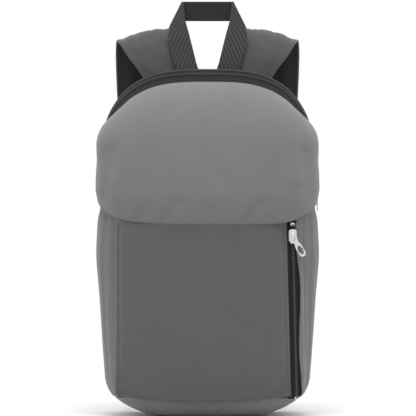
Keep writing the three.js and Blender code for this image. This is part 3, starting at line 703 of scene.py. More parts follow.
def coil_row(name, points, normals, side, replaced, body, phase=0.0):
    """Half a zip's coil: a loop of nylon standing on the tape for each tooth, hooked at its tip."""
    places = np.arange(tooth_pitch * (0.5 + phase), length_of(points), tooth_pitch)
    centre, along, across, up = spread(points, normals, places, 1 * mm)
    shape = ((-0.9, 0.5, 0.30), (-0.45, 1.15, 0.50), (0.3, 1.3, 0.42), (1.3, 1.15, 0.36),
             (2.3, 0.7, 0.34), (2.9, 0.0, 0.2))
    profile = [(out * mm, 0, lift * mm, 1.25 * girth * mm, girth * mm) for out, lift, girth in shape]
    # Each tooth's length runs across the tape, so the frames are turned a quarter round.
    piece = bead_row(name, (centre, across * side, along, up), profile, 6, coil_black, 0)
    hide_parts(replaced)
    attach(piece, body)


def line_on_band(along, share):
    """A line round the zip's band, the way out from it, and a step towards the back panel."""
    line = zip_band(along, np.full_like(along, share))
    step = zip_band(along, np.full_like(along, share + 0.05)) - line
    normal = np.cross(np.gradient(line, axis=0), step)
    normal /= np.linalg.norm(normal, axis=1, keepdims=True)
    if (normal * (line - np.array(crown_inside))).sum() < 0:
        normal = -normal
    return line, normal, step


half_gap = 0.25 * mm / band_width
hem_foot, low_foot, open_foot = foot_along(244 * mm), foot_along(247 * mm), foot_along(272 * mm)
tape("main_tape_front", hem_foot, 1 - hem_foot, -0.12, coil_share - half_gap,
     "main_zip_front_tape", "front_flap")
tape("main_tape_back", low_foot, 1 - low_foot, coil_share + half_gap, 1.05,
     "main_zip_back_tape", "bag")
for name, start, side, replaced, body, phase in (
        ("main_coil_front", open_foot, 1, "main_zip_front_coil", "front_flap", 0.0),
        ("main_coil_back", low_foot, -1, "main_zip_back_coil", "bag", 0.5)):
    line, normal, step = line_on_band(np.linspace(start, 1 - start, 900), coil_share)
    hand = np.sign((np.cross(np.gradient(line, axis=0), normal) * step).sum())
    coil_row(name, line, normal, -side * hand, replaced, body, phase)
for name, share in (("main_tape_stitches_front", 0.2), ("main_tape_stitches_back", 0.9)):
    line, normal, step = line_on_band(np.linspace(low_foot, 1 - low_foot, 900), share)
    seam = stitches(name, line + normal * 0.1 * mm, normal, thread_grey)
    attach(seam, "front_flap" if "front" in name else "bag")

# ---------------------------------------------------------------------------------------------
# Upper front panel: one domed piece of the grey polyester, coloured paler as painted light. Its hem is turned
# under and topstitched along the zip, and its lower edge is laid over the pocket's in one seam.
# A paler copy of the grey polyester: painted light on the dome.
dome_cloth_painted_light = woven("grey_polyester_painted_light", (0.126, 0.126, 0.126), thread=0.5 * mm)


def dome_surface(s, t):
    """The dome: s runs from its left side to its right, t from the seam over the pocket to the hem."""
    v = np.sin(t * math.pi / 2)
    edge = np.abs(2 * s - 1)
    widest = 0.84 + 0.16 * v ** 3
    roll = np.clip((edge - widest) / np.maximum(1 - widest, 1e-6), 0, 1)
    u = np.sign(s - 0.5) * np.sin(np.minimum(1, edge / widest) * math.pi / 2)
    fade = 1 - v ** 6
    bulge = fade * (1 - roll ** 1.5)
    z = (221.5 + 22 * np.abs(u) ** 8 * (1 - v)) * mm
    z = z + 161.5 * mm * v * (1 - np.abs(u) ** arch_power / 2) ** (1 / arch_power)
    shoulder = smooth(z, 287 * mm, 335 * mm) * (5 + 4 * bulge)
    tuck = 5.5 * (1 - smooth(z, 228 * mm, 262 * mm))
    half_width = (129 - 7 * (1 - bulge) + shoulder - tuck) * mm
    x = half_width * u * (1 - v ** arch_power / 2) ** (1 / arch_power)
    across = np.sqrt(np.maximum(0, 1 - np.abs(u) ** 3.5))
    upward = np.sqrt(np.maximum(0, 1 - (np.maximum(0, v - 0.2) / 0.8) ** 2))
    chin = 11 * mm * np.maximum(0, 1 - v / 0.25) ** 2
    edge_y = hem_y(z) - 15 * mm * fade * (1 - roll)
    return np.stack([x, edge_y + (-81 * mm + chin - edge_y) * across * upward, z], -1)


dome_columns, dome_rows = 220, 150
s, t = grid(dome_columns, dome_rows)
t = t ** 1.05
points = dome_surface(s, t)
x, y, z = points[..., 0], points[..., 1], points[..., 2]
from_seam = run_length(points, 0)
from_hem = run_length(points[::-1], 0)[::-1]
from_side = np.minimum(run_length(points, 1), run_length(points[:, ::-1], 1)[:, ::-1])
edge = np.minimum(from_hem, from_side)
hem_run = np.arctan2(x, z - 0.27)
sag = puckers(x, from_seam, 23 * mm, 0.45 * mm, 15 * mm, 51)
sag += puckers(hem_run * 110 * mm, edge, 19 * mm, 0.22 * mm, 9 * mm, 52) * smooth(from_seam, 0, 20 * mm)
for hand in (-1, 1):
    sag += valley(x, z, (hand * 0.118, 0.252), (hand * 0.113, 0.302), 9 * mm, 3.0 * mm)
    sag += valley(x, z, (hand * 0.093, 0.228), (hand * 0.104, 0.262), 7 * mm, 2.0 * mm)
sag += valley(x, z, (-0.052, 0.2225), (-0.034, 0.247), 6 * mm, 2.6 * mm)
sag += valley(x, z, (-0.085, 0.2225), (-0.072, 0.238), 7 * mm, 1.8 * mm)
sag += valley(x, z, (0.040, 0.2225), (0.062, 0.246), 6 * mm, 2.8 * mm)
sag += valley(x, z, (0.012, 0.2225), (0.0, 0.238), 8 * mm, 1.8 * mm)
sag += valley(x, z, (-0.02, 0.30), (0.06, 0.27), 34 * mm, 1.3 * mm)
sag -= valley(x, z, (-0.07, 0.335), (0.075, 0.34), 20 * mm, 0.8 * mm)
sag = sag * smooth(np.minimum(edge, from_seam), -2 * mm, 7 * mm)
sag -= 1.0 * mm * np.exp(-((edge - 5.5 * mm) / (1.4 * mm)) ** 2)
sag -= 0.7 * mm * np.exp(-(from_seam / (2.5 * mm)) ** 2)
dome_points = pushed(points, sag, inside)
dome_points[..., 2] = np.where(t < 1e-6, points[..., 2], dome_points[..., 2])
dome = panel("dome_front", dome_points, 1.1 * mm, dome_cloth_painted_light, black_lining, inside)
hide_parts("upper_front_panel")
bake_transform(dome)

dome_normals = normals_of(dome_points, inside)
rim_top, rim_right = dome_rows - 4, dome_columns - 3
rim = [(i, 3) for i in range(4, rim_top + 1)] + [(rim_top, j) for j in range(4, rim_right)]
rim += [(i, rim_right) for i in range(rim_top, 3, -1)]
i, j = np.array(rim).T
hem_seam = stitches("dome_hem_stitches", dome_points[i, j], dome_normals[i, j], thread_grey)
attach(hem_seam, "front_flap")
i = np.full(190, 1)
j = np.arange(15, 205)
foot_seam = stitches("dome_foot_stitches", dome_points[i, j], dome_normals[i, j], thread_grey, thick=0.4 * mm)
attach(foot_seam, "bag")

# ---------------------------------------------------------------------------------------------
# Pocket zip: an upright nylon-coil zip between the pocket and the right-hand gusset, closed from
# top to foot, with a small metal stop at each end.
pocket_zip_y, zip_top, zip_foot = -50 * mm, 221.5 * mm, 21 * mm


def zip_line(z):
    """The pocket zip's middle line at each height."""
    return np.stack([pocket_zip_x(z), np.full_like(z, pocket_zip_y), z], -1)


z = np.linspace(zip_top, zip_foot, 500)
line = zip_line(z)
facing = np.tile([0.0, -1.0, 0.0], (len(line), 1))
for name, hand, node in (
        ("pocket_coil_left", -1, "pocket_zip_left"), ("pocket_coil_right", 1, "pocket_zip_right")):
    coil_row(name, line, facing, -hand, node + "_coil", "bag", 0.0 if hand < 0 else 0.5)
    u, v = grid(12, 220)
    low = zip_foot + (9 * mm * u ** 2 if hand > 0 else 0)
    z = low + (zip_top - low) * v
    inner, outer = 0.35 * mm, (10.5 if hand < 0 else 7.4) * mm
    x = pocket_zip_x(z) + hand * (inner + (outer - inner) * u)
    y = pocket_zip_y - tape_sink + 1.2 * mm * smooth(u, 0.5, 1)
    y = y - 0.25 * mm * np.sin(z * 300) * smooth(u, 0.1, 0.6)
    piece = panel(node + "_ribbon", np.stack([x, y, z], -1), 0.8 * mm, tape_cloth, tape_cloth, inside)
    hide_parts(node + "_tape")
    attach(piece, "bag")
    z = np.linspace(zip_foot + 1 * mm, 219 * mm, 300)
    seam_line = zip_line(z) + np.array([hand * 6.1 * mm, -0.6 * mm, 0])
    seam = stitches(node + "_stitches", seam_line, facing[:300], thread_grey, thick=0.4 * mm)
    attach(seam, "bag")

# The gusset's front edge is laid over the outer part of the zip tape from foot to top.
u, v = grid(14, 90)
z = 26 * mm + (228 * mm - 26 * mm) * v
edge_x, edge_y = 108.6 * mm, -51.9 * mm
inner = 105.4 * mm - 4.6 * mm * smooth(z, 145 * mm, 215 * mm)
inner = inner + 5 * mm * np.maximum(0, 1 - z / (70 * mm)) ** 1.3
inner = inner + 0.7 * mm * np.sin(z * 55) * smooth(z, 30 * mm, 60 * mm)
outer = np.minimum(np.maximum(edge_x, pocket_zip_x(z) + 11 * mm), side_half_width(z) - 1.5 * mm)
inner = np.minimum(inner, outer - 2 * mm)
x = inner + (outer - inner) * u
y = edge_y + (4.2 * mm + 1.5 * np.maximum(0, outer - edge_x)) * u ** 2
y = y - 0.5 * mm * np.sin(u * math.pi) + 0.25 * mm * np.sin(z * 180 + 2 * u)
zip_flap = panel("gusset_zip_edge", np.stack([x, y, z], -1), 0.9 * mm, shell_cloth, black_lining, inside)
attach(zip_flap, "bag")

# ---------------------------------------------------------------------------------------------
# Zip sliders and pullers: die-cast zinc with satin nickel plating. The slider's top plate narrows
# from its two shoulders to its tail; the puller swings on its bridge and has an oval grip hole.


def satin_nickel():
    """Plated die casting: slightly uneven polish and fine scuffs."""
    material, shade, shader = finish_of("satin_nickel", {"Metallic": 1.0})
    place = shade.node("TexCoord", output=3)
    wear = shade.node("TexNoise", {}, {"Vector": place, "Scale": 260.0, "Detail": 4.0})
    scuff = shade.node("TexNoise", {}, {"Vector": place, "Scale": 1400.0, "Detail": 2.0})
    connect(shade, shader, mixed(shade, wear, (0.56, 0.56, 0.55), (0.72, 0.72, 0.71)),
            wear * 0.25 + scuff * 0.12 + 0.14, wear + scuff * 0.5, 0.25, 0.00015)
    return material


nickel = satin_nickel()


def pick(test, kind="FACE"):
    """Select the faces or vertices of the piece in edit mode whose place and normal pass a test."""
    bpy.ops.object.mode_set(mode="OBJECT")
    mesh = bpy.context.object.data
    for group in (mesh.vertices, mesh.edges, mesh.polygons):
        for part in group:
            part.select = False
    if kind == "FACE":
        for face in mesh.polygons:
            face.select = test(face.center, face.normal)
    else:
        for vertex in mesh.vertices:
            vertex.select = test(vertex.co, vertex.normal)
    bpy.ops.object.mode_set(mode="EDIT")
    bpy.ops.mesh.select_mode(type=kind)
    bpy.ops.object.mode_set(mode="OBJECT")
    bpy.ops.object.mode_set(mode="EDIT")


def block(size, place=(0, 0, 0)):
    """A plain block of the given width, depth and height."""
    bpy.ops.object.select_all(action="DESELECT")
    bpy.ops.mesh.primitive_cube_add(size=1, location=place)
    bpy.ops.transform.resize(value=size)
    bpy.ops.object.transform_apply(location=True, rotation=True, scale=True)
    return bpy.context.object


def rounded(piece, width, segments=3, angle=35):
    """Round the piece's sharp edges with a bevel, and apply it."""
    bevel = piece.modifiers.new("rounding", "BEVEL")
    bevel.width = width
    bevel.segments = segments
    bevel.limit_method = "ANGLE"
    bevel.angle_limit = math.radians(angle)
    apply_modifiers(piece, 40)


def joined(name, parts, material):
    """The parts as one piece, all of one material, or each with its own where none is given."""
    bpy.ops.object.select_all(action="DESELECT")
    for part in parts:
        part.select_set(True)
    bpy.context.view_layer.objects.active = parts[0]
    if len(parts) > 1:
        bpy.ops.object.join()
    piece = bpy.context.object
    piece.name = name
    if material:
        piece.data.materials.clear()
        piece.data.materials.append(material)
    return piece


def set_in_place(piece, origin, right, up):
    """Moves a piece drawn facing -Y round the world origin to its place on the bag."""
    right, up = Vector(right).normalized(), Vector(up).normalized()
    out = right.cross(up).normalized()
    right = up.cross(out)
    for vertex in piece.data.vertices:
        x, y, z = vertex.co
        vertex.co = Vector(origin) + right * x - out * y + up * z
    piece.data.update()


def slider_body(name):
    """The slider, drawn standing: wide at the shoulders above, narrow at the tail, bridge in front."""
    plate = block((9.2 * mm, 1.6 * mm, 16 * mm))
    bpy.ops.object.mode_set(mode="EDIT")
    bpy.ops.mesh.select_all(action="SELECT")
    bpy.ops.mesh.subdivide(number_cuts=3)
    for test, scale in ((lambda c, n: c.z < -7.9 * mm, 0.62), (lambda c, n: -4.1 * mm < c.z < -3.9 * mm, 0.8),
                        (lambda c, n: c.z > 7.9 * mm, 0.72)):
        pick(test, "VERT")
        bpy.ops.transform.resize(value=(scale, 1, 1))
    bpy.ops.object.mode_set(mode="OBJECT")
    rounded(plate, 0.5 * mm, 3, 30)
    rails = []
    for hand in (-1, 1):
        rail = block((1.0 * mm, 2.6 * mm, 12 * mm), (hand * 4.0 * mm, 1.7 * mm, 0.6 * mm))
        rounded(rail, 0.3 * mm, 2)
        rails.append(rail)
    bridge = block((1.9 * mm, 1.3 * mm, 9.4 * mm), (0, -3.9 * mm, 0))
    bpy.ops.object.mode_set(mode="EDIT")
    bpy.ops.mesh.select_all(action="SELECT")
    bpy.ops.mesh.subdivide(number_cuts=7)
    for test in (lambda c, n: n.z > 0.9, lambda c, n: n.z < -0.9):
        pick(test)
        bpy.ops.transform.translate(value=(0, 3.4 * mm, 0))
    pick(lambda c, n: abs(c.z) > 3.2 * mm and abs(n.z) < 0.9, "VERT")
    bpy.ops.transform.translate(value=(0, 0.5 * mm, 0))
    bpy.ops.object.mode_set(mode="OBJECT")
    rounded(bridge, 0.35 * mm, 2)
    return joined(name, [plate, *rails, bridge], nickel)


puller_half, puller_length = 4.1 * mm, 28 * mm


def puller_plate(name):
    """The puller, drawn hanging from the origin: a window for the bridge above, an oval eye below."""
    bpy.ops.object.select_all(action="DESELECT")
    bpy.ops.mesh.primitive_grid_add(x_subdivisions=12, y_subdivisions=40, size=1)
    plate = bpy.context.object
    plate.scale = (2 * puller_half, puller_length, 1)
    bpy.ops.object.transform_apply(location=True, rotation=True, scale=True)
    for vertex in plate.data.vertices:
        u, v = vertex.co.x / puller_half, -vertex.co.y / puller_length + 0.5
        waist = 1 - 0.3 * math.exp(-((v - 0.36) / 0.12) ** 2)
        foot = math.sqrt(max(0.16, 1 - max(0, (v - 0.84) / 0.16) ** 2.2))
        head = math.sqrt(max(0.5, 1 - max(0, (0.07 - v) / 0.07) ** 2))
        vertex.co = Vector((u * puller_half * waist * foot * head, 0, 2.2 * mm - v * puller_length))
    bpy.ops.object.mode_set(mode="EDIT")

    def in_hole(c, n):
        window = abs(c.x) < 1.9 * mm and -4.6 * mm < c.z < 0.2 * mm
        eye = (c.x / (2.5 * mm)) ** 2 + ((c.z + 17.8 * mm) / (5.4 * mm)) ** 2 < 1
        return window or eye

    pick(in_hole)
    bpy.ops.mesh.delete(type="FACE")
    bpy.ops.object.mode_set(mode="OBJECT")
    smoothing = plate.modifiers.new("even_holes", "SMOOTH")
    smoothing.factor = 0.5
    smoothing.iterations = 3
    wall = plate.modifiers.new("wall", "SOLIDIFY")
    wall.thickness = 1.4 * mm
    wall.offset = 0
    apply_modifiers(plate, 40)
    outward(plate)
    rounded(plate, 0.35 * mm, 3, 50)
    return joined(name, [plate], nickel)


tilt = math.radians(30)
sliders = (
    ("pocket_slider", "pocket_zip_slider", (0.097355, -0.0535, 0.207), (1, 0, 0.0254), (-0.0254, 0, 1),
     "pocket_puller", "pocket_zip_puller", (0.097355, -0.0569, 0.207),
     (math.cos(tilt), 0, math.sin(tilt)), (-math.sin(tilt), 0, math.cos(tilt))),
    ("main_slider", "main_zip_slider", (0.1236, 0.0069, 0.26), (0, 1, 0), (-0.0463, 0, 0.9989),
     "main_puller", "main_zip_puller", (0.1263, 0.0071, 0.2601), (0, 1, 0), (0, 0, 1)),
)
for (slider, slider_node, place, right, up, puller, puller_node, hang, hang_right, hang_up) in sliders:
    body = slider_body(slider + "_casting")
    set_in_place(body, place, right, up)
    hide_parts(slider_node)
    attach(body, slider)
    grip = puller_plate(puller + "_plate")
    set_in_place(grip, hang, hang_right, hang_up)
    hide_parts(puller_node)
    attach(grip, puller)

# The four stops are plain crimped metal, kept as they are and plated like the sliders.
for node in ("pocket_zip_top_stop", "pocket_zip_bottom_stop", "main_zip_stop_left", "main_zip_stop_right"):
    stop = bpy.data.objects[node]
    stop.data.materials.clear()
    stop.data.materials.append(nickel)

# ---------------------------------------------------------------------------------------------
# Strap yoke and anchors: flat patches of charcoal strap cloth sewn on the back panel, one under
# the straps' roots and one at each foot, held by box stitching.
strap_cloth = woven("charcoal_polyester", (0.056, 0.056, 0.056), thread=0.6 * mm, sheen=0.2)


def patch(name, low_corner, high_corner, node, flare):
    """A flat patch between two corners, narrower at its top by flare, stitched round its border."""
    u, v = grid(40, 24)
    middle, half = (low_corner.x + high_corner.x) / 2, (high_corner.x - low_corner.x) / 2
    x = middle + half * (2 * u - 1) * (1 - flare * v)
    z = low_corner.z + (high_corner.z - low_corner.z) * v
    swell = 0.8 * mm * np.sin(u * math.pi) ** 0.5 * np.sin(v * math.pi) ** 0.5
    points = np.stack([x, low_corner.y + 1.2 * mm + swell, z], -1)
    piece = panel(name, points, 1.0 * mm, strap_cloth, black_lining, inside)
    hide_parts(node)
    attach(piece, "bag")
    border = [(2, j) for j in range(3, 38)] + [(i, 37) for i in range(3, 22)]
    border += [(22, j) for j in range(37, 2, -1)] + [(i, 3) for i in range(21, 1, -1)]
    i, j = np.array(border).T
    normals = np.tile([0.0, 1.0, 0.0], (len(i), 1))
    seam = stitches(name + "_stitches", points[i, j] + normals * 0.1 * mm, normals, thread_grey)
    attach(seam, "bag")


patch("yoke_patch", *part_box("strap_yoke"), "strap_yoke", 0.12)
for hand in ("left", "right"):
    patch("anchor_patch_" + hand, *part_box("strap_anchor_" + hand), "strap_anchor_" + hand, 0.25)

# ---------------------------------------------------------------------------------------------
# Shoulder straps: charcoal cloth over 7 mm foam with a thin black lining behind, bound flat along
# both edges with one row of stitching. Each rises from the back panel, bends over and hangs down.
back_top = 392 * mm
strap_places = np.array([(40, 61.5, 381), (49, 61.5, 395), (58.5, 63, 411), (67, 69, 426), (72, 77, 433.5),
                         (74, 86, 435.5), (75, 96, 431), (76, 102, 417), (76, 104, 398), (76, 106, 350),
                         (79, 106, 290), (86, 103, 220), (92, 98, 150)]) * mm


def smooth_path(places, count):
    """An even run of points on the smooth curve through the places (centripetal Catmull-Rom)."""
    places = np.concatenate([[2 * places[0] - places[1]], places, [2 * places[-1] - places[-2]]])
    knots = np.concatenate([[0], np.cumsum(np.linalg.norm(np.diff(places, axis=0), axis=1) ** 0.5)])
    dense = []
    for k in range(1, len(places) - 2):
        t = np.linspace(knots[k], knots[k + 1], 60, endpoint=False)[:, None]
        t0, t1, t2, t3 = knots[k - 1: k + 3]
        p0, p1, p2, p3 = places[k - 1: k + 3]
        a1 = (t1 - t) / (t1 - t0) * p0 + (t - t0) / (t1 - t0) * p1
        a2 = (t2 - t) / (t2 - t1) * p1 + (t - t1) / (t2 - t1) * p2
        a3 = (t3 - t) / (t3 - t2) * p2 + (t - t2) / (t3 - t2) * p3
        b1 = (t2 - t) / (t2 - t0) * a1 + (t - t0) / (t2 - t0) * a2
        b2 = (t3 - t) / (t3 - t1) * a2 + (t - t1) / (t3 - t1) * a3
        dense.append((t2 - t) / (t2 - t1) * b1 + (t - t1) / (t2 - t1) * b2)
    dense = np.concatenate(dense + [places[-2:-1]])
    run = np.concatenate([[0], np.cumsum(np.linalg.norm(np.diff(dense, axis=0), axis=1))])
    even = np.linspace(0, run[-1], count)
    return np.stack([np.interp(even, run, dense[:, i]) for i in range(3)], -1)


def loft(name, rings, materials, angle=60):
    """A closed tube through rings of points, its ends filled; UVs run round and along it."""
    count, around = rings.shape[:2]
    index = np.arange(count * around).reshape(count, around)
    after = np.roll(index, -1, axis=1)
    faces = np.stack([index[:-1], after[:-1], after[1:], index[1:]], -1).reshape(-1, 4).tolist()
    faces.append(index[0, ::-1].tolist())
    faces.append(index[-1].tolist())
    mesh = bpy.data.meshes.new(name)
    mesh.from_pydata(rings.reshape(-1, 3).tolist(), [], faces)
    closed = np.concatenate([rings, rings[:, :1]], 1)
    turned = run_length(closed, 1)[:, :-1]
    turned = np.abs(turned - turned.max(1, keepdims=True) / 2)
    lay_uv(mesh, np.stack([turned, run_length(rings, 0)], -1).reshape(-1, 2))
    for material in materials:
        mesh.materials.append(material)
    piece = bpy.data.objects.new(name, mesh)
    bpy.context.scene.collection.objects.link(piece)
    outward(piece)
    apply_modifiers(piece, angle)
    return piece


strap_count = 260
strap_centre = smooth_path(strap_places, strap_count)
strap_along = np.linspace(0, 1, strap_count)
tangent = np.gradient(strap_centre, axis=0)
tangent /= np.linalg.norm(tangent, axis=1, keepdims=True)
slope = 0.25 * smooth(strap_centre[:, 2], back_top + 2 * mm, back_top + 35 * mm)
slope = slope * (1 - smooth(strap_centre[:, 1], 86 * mm, 100 * mm))
strap_across = np.stack([np.ones(strap_count), np.zeros(strap_count), -slope], -1)
strap_across /= np.linalg.norm(strap_across, axis=1, keepdims=True)
strap_up = np.cross(strap_across, tangent)
strap_up /= np.linalg.norm(strap_up, axis=1, keepdims=True)
strap_half = (62 - 18 * smooth(strap_along, 0.25, 0.9)) / 2 * mm
end_round = np.sqrt(np.clip(1 - np.clip((strap_along - 0.965) / 0.035, 0, 1) ** 2 * 0.65, 0.1, 1))
strap_half = strap_half * end_round
strap_run = run_length(strap_centre[:, None], 0)[:, 0]

strap_columns, strap_inset = 41, 7.4 * mm
share = np.concatenate([np.linspace(-1, 1, strap_columns), np.linspace(1, -1, strap_columns)])
face = np.concatenate([np.ones(strap_columns), -np.ones(strap_columns)])
for hand, side in (("left", -1), ("right", 1)):
    width = strap_half[:, None]
    from_edge = width * (1 - np.abs(share))
    pad = smooth(from_edge, 3 * mm, 20 * mm)
    swell = (1.4 + 3.3 * pad) * mm
    swell = swell - 0.45 * mm * np.exp(-((from_edge - strap_inset) / (1.1 * mm)) ** 2)
    swell *= np.sqrt(np.clip(from_edge / (0.9 * mm), 0.0, 1)) * 0.96 + 0.04
    run = strap_run[:, None] + 0 * share
    crease = np.exp(-((run - 62 * mm) / (40 * mm)) ** 2)
    ripple = 0.2 * mm * np.sin(run * 2 * math.pi / (15 * mm) + share * 2.1 + side) * crease * pad
    ripple += 0.3 * mm * np.sin(run * 2 * math.pi / (34 * mm) + share * 3 * side) * pad
    for offset, wide, deep in ((-0.42, 0.09, 1.0), (0.18, 0.07, 0.8), (0.5, 0.06, 0.6)):
        drift = offset * side + 0.12 * np.sin(run * 38 + offset * 9)
        ripple -= deep * mm * np.exp(-((share - drift) / wide) ** 2) * crease * pad
    height = face * swell + ripple
    centre = strap_centre[:, None] + strap_across[:, None] * (share * width)[..., None]
    rings = centre + strap_up[:, None] * height[..., None]
    rings[..., 0] *= side
    strap = loft("shoulder_strap_" + hand, rings, (strap_cloth, black_lining))
    for polygon in strap.data.polygons[: (strap_count - 1) * 2 * strap_columns]:
        polygon.material_index = 1 if polygon.index % (2 * strap_columns) > strap_columns else 0
    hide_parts("strap_root_" + hand, "strap_cover_" + hand, "strap_foam_" + hand,
                "strap_lining_" + hand)
    "strap_" + hand
    side * 0.073
    side * 0.073
    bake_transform(strap)
    for edge, outward_side in (("outer", 1), ("inner", -1)):
        for layer, facing in (("top", 1), ("under", -1)):
            up = strap_up[6:-14] * facing * [side, 1, 1]
            inset = (strap_half[6:-14] - strap_inset) * outward_side
            row = strap_centre[6:-14] + strap_across[6:-14] * inset[:, None]
            row = row * [side, 1, 1] + up * 0.9 * mm
            seam = stitches("_".join(("strap_stitches", hand, edge, layer)), row, up, thread_grey)
            "strap_" + hand
            side * 0.073
            side * 0.073
            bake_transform(seam)

# ---------------------------------------------------------------------------------------------
# Strap webbing: a 25 mm black polypropylene band from each anchor up through a ladder lock at the
# strap's end and back down as a loose tail. A short loop of webbing holds the lock to the strap.


def webbing_weave(name, light, sheen=0.2):
    """Woven webbing: plump diagonal cords, each broken into short floats, and a fuzz of fibres."""
    material, shade, shader = finish_of(name, {
        "Sheen Weight": sheen, "Sheen Roughness": 0.5, "Specular IOR Level": 0.35})
    across, up = along_cloth(shade)
    cords = wave(across + up * 0.62, 2.6 * mm)
    crossing = wave(across - up * 0.62, 4.4 * mm)
    fibres = wave(up * 1.0 + across * 0.25, 0.42 * mm)
    place = shade.node("TexCoord", output=3)
    fuzz = shade.node("TexNoise", {}, {"Vector": place, "Scale": 700.0, "Detail": 3.0})
    tone = (cords * 0.42 + crossing * 0.3 + fibres * 0.05 + fuzz * 0.5 - 0.05).clipped()
    connect(shade, shader, mixed(shade, tone, (0.008, 0.008, 0.008), (light, light, light)),
            fuzz * 0.2 + 0.62, cords + crossing * 0.5 + fibres * 0.15, 0.9, 0.0005)
    return material


webbing_black = webbing_weave("black_webbing", 0.1)
# A darker, duller copy of the black webbing: painted shade for the handle's bar.
webbing_painted_shade = webbing_weave("black_webbing_painted_shade", 0.016, 0.04)


def band(name, places, width, thick, turned=(1, 0, 0), count=120):
    """A webbing band along a path: flat faces and rounded selvedges."""
    path = smooth_path(np.array(places, float), count)
    ahead = np.gradient(path, axis=0)
    ahead /= np.linalg.norm(ahead, axis=1, keepdims=True)
    across = np.tile(np.array(turned, float), (count, 1))
    up = np.cross(across, ahead)
    up /= np.linalg.norm(up, axis=1, keepdims=True)
    share = np.concatenate([np.linspace(-1, 1, 15), np.linspace(1, -1, 15)])
    face = np.concatenate([np.ones(15), -np.ones(15)])
    height = face * thick / 2 * np.sqrt(np.clip(1 - np.abs(share) ** 14, 0.03, 1))
    height = height * (1 + 0.12 * np.exp(-((np.abs(share) - 0.88) / 0.06) ** 2))
    rings = path[:, None] + across[:, None] * (share * width / 2)[None, :, None]
    return loft(name, rings + up[:, None] * height[None, :, None], (webbing_black,))


lock_low, lock_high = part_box("ladder_lock_right")
lock_middle = (lock_low + lock_high) / 2
lock_width, lock_height = lock_high.x - lock_low.x, lock_high.z - lock_low.z
lock_bar = 5 * mm


def acetal():
    """Moulded acetal: satin black, with faint flow marks and a fine grain."""
    material, shade, shader = finish_of("black_acetal", {"Specular IOR Level": 0.5})
    place = shade.node("TexCoord", output=3)
    flow = shade.node("TexNoise", {}, {"Vector": place, "Scale": 90.0, "Detail": 3.0})
    grain = shade.node("TexNoise", {}, {"Vector": place, "Scale": 2400.0, "Detail": 1.0})
    connect(shade, shader, mixed(shade, flow, (0.010, 0.010, 0.010), (0.019, 0.019, 0.019)),
            flow * 0.16 + grain * 0.1 + 0.28, grain, 0.25, 0.0001)
    return material


black_plastic = acetal()


def ladder_lock(name):
    """The ladder lock, drawn upright: a frame with two slots, a lifting lip and gripping ridges."""
    bpy.ops.object.select_all(action="DESELECT")
    bpy.ops.mesh.primitive_grid_add(x_subdivisions=12, y_subdivisions=13, size=1)
    frame_plate = bpy.context.object
    for vertex in frame_plate.data.vertices:
        u, v = vertex.co.x, vertex.co.y
        bow = 1 - 0.05 * math.cos(v * math.pi)
        vertex.co = Vector((u * lock_width * bow, 0.8 * mm * math.cos(u * math.pi) * 0.6, v * lock_height))
    bpy.ops.object.mode_set(mode="EDIT")
    slot = (lock_height - 3 * lock_bar) / 2
    pick(lambda c, n: abs(c.x) < lock_width / 2 - 4 * mm
         and abs(abs(c.z) - (slot + lock_bar) / 2) < slot / 2)
    bpy.ops.mesh.delete(type="FACE")
    pick(lambda c, n: c.z < -lock_height / 2 + 0.2 * mm, "VERT")
    bpy.ops.transform.translate(value=(0, -1.2 * mm, 0))
    bpy.ops.object.mode_set(mode="OBJECT")
    wall = frame_plate.modifiers.new("wall", "SOLIDIFY")
    wall.thickness = 2.8 * mm
    wall.offset = 0
    apply_modifiers(frame_plate)
    outward(frame_plate)
    rounded(frame_plate, 0.8 * mm, 3, 50)
    ridges = []
    for step in (-1, 0, 1):
        ridge = block((lock_width - 10 * mm, 0.9 * mm, 0.9 * mm), (0, -1.6 * mm, -step * 1.6 * mm))
        rounded(ridge, 0.25 * mm, 2)
        ridges.append(ridge)
    return joined(name, [frame_plate, *ridges], black_plastic)


for hand, side in (("left", -1), ("right", 1)):
    body = "strap_" + hand
    lock = ladder_lock("lock_" + hand)
    set_in_place(lock, (side * lock_middle.x, lock_middle.y, lock_middle.z), (-1, 0, 0), (0, 0, 1))
    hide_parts("ladder_lock_" + hand)
    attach(lock, body)

    x, y, z = side * lock_middle.x, lock_middle.y, lock_high.z - lock_bar / 2
    turns = np.linspace(-0.75 * math.pi, 0.75 * math.pi, 9)
    round_bar = [(x, y + 4.0 * mm * math.sin(a), z - 4.0 * mm * math.cos(a)) for a in turns]
    loop = [(x, y - 1.6 * mm, z + 24 * mm), (x, y - 2.2 * mm, z + 12 * mm), *round_bar,
            (x, y + 2.2 * mm, z + 12 * mm), (x, y + 1.6 * mm, z + 24 * mm)]
    keeper = band("lock_keeper_" + hand, loop, 24 * mm, 1.5 * mm)
    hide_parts("buckle_loop_" + hand)
    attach(keeper, body)

    rise = [(90, 69.5, 30), (90, 73, 44), (90.3, 80, 66), (92, 91, 92), (93, 95.2, 112), (93, 95.6, 119)]
    rise = [(side * a * mm, b * mm, c * mm) for a, b, c in rise]
    webbing = band("strap_band_" + hand, rise, 25 * mm, 1.7 * mm)
    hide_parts("strap_webbing_" + hand)
    side * 0.09
    side * 0.09
    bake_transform(webbing)

    over = [(93, 96.6, 118), (93, 97.0, 124.5), (93, 98.9, 130.5), (93, 101.6, 128), (93, 102.0, 121.5),
            (93.1, 102.8, 112), (93.5, 103.2, 96), (94, 103.4, 72), (94.5, 102.6, 54), (94.6, 101.4, 46)]
    over = [(side * a * mm, b * mm, c * mm) for a, b, c in over]
    tail = band("strap_tail_band_" + hand, over, 24.6 * mm, 1.5 * mm)
    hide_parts("strap_tail_" + hand)
    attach(tail, body)

# ---------------------------------------------------------------------------------------------
# Grab handle: one length of the same black webbing. Its two legs are sewn into the top seam, lean
# out, and fold over on the diagonal into the bar, which lies behind them.
handle_foot, handle_y, lean = 394 * mm, 53 * mm, math.tan(math.radians(5))
handle_thick, behind_handle = 1.9 * mm, (0, 0.3, 0.44)


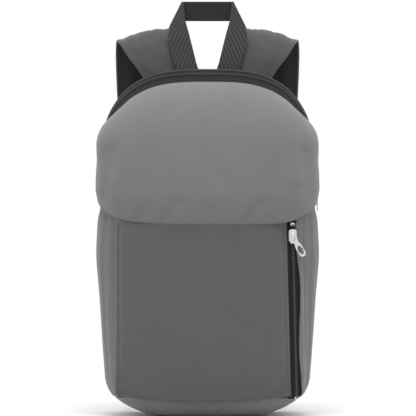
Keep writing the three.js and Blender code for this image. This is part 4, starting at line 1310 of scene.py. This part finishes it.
def leg_edges(z):
    """The outer and inner edge of a leg at a height, up to the diagonal fold."""
    rise = (z - handle_foot) / mm
    outer = np.interp(rise, (-6, 0, 20, 40, 46, 50, 79, 81), (35, 36, 41.8, 45.4, 45.4, 44, 29.6, 28.6))
    inner = np.interp(rise, (-6, 0, 10, 24, 44, 58, 70, 81), (8.4, 9.6, 13, 16.4, 21.4, 25.4, 26.9, 28.2))
    return outer * mm, inner * mm


handle_parts = []
for side in (-1, 1):
    u, v = grid(24, 120)
    z = handle_foot - 5 * mm + 86 * mm * v
    outer, inner = leg_edges(z)
    x = side * (outer + (inner - outer) * u)
    wave_y = 0.6 * mm * np.sin(v * 9 + side) * np.sin(u * math.pi) - 0.9 * mm * smooth(v, 0.6, 0.95)
    y = handle_y + (z - handle_foot) * lean - 1.0 * mm + wave_y - 0.5 * mm * np.sin(u * math.pi)
    points = np.stack([x, y, z], -1)
    leg = panel("handle_leg", points, handle_thick, webbing_black, webbing_black, behind_handle)
    handle_parts.append(leg)
    fold = [(43.6, 443.0), (41.8, 447.5), (35.0, 461), (28.8, 473.6)]
    fold = [(side * a * mm, handle_y + (c * mm - handle_foot) * lean + 0.6 * mm, c * mm) for a, c in fold]
    handle_parts.append(band("handle_fold", fold, 3.6 * mm, 3.4 * mm, (0, 1, 0), 60))
u, v = grid(80, 24)
z = (452.5 + 22.4 * v) * mm
half = np.interp(z / mm, (448, 472, 475.5), (42.5, 30.5, 26.5)) * mm
x = half * (2 * u - 1)
sink = 0.7 * mm * np.sin(u * math.pi) + 0.4 * mm * np.sin(u * 11 + v * 3)
y = handle_y + (z - handle_foot) * lean + 1.3 * mm + sink * 0.5
points = np.stack([x, y, z], -1)
# The bar gets the darker copy of the webbing as painted shade.
bar = panel("handle_bar", points, handle_thick, webbing_painted_shade, webbing_painted_shade, behind_handle)
for corner in bar.data.uv_layers.active.data:
    corner.uv = (corner.uv[1], corner.uv[0])
handle_parts.append(bar)
handle = joined("webbing_handle", handle_parts, None)
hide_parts("grab_handle")
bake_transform(handle)
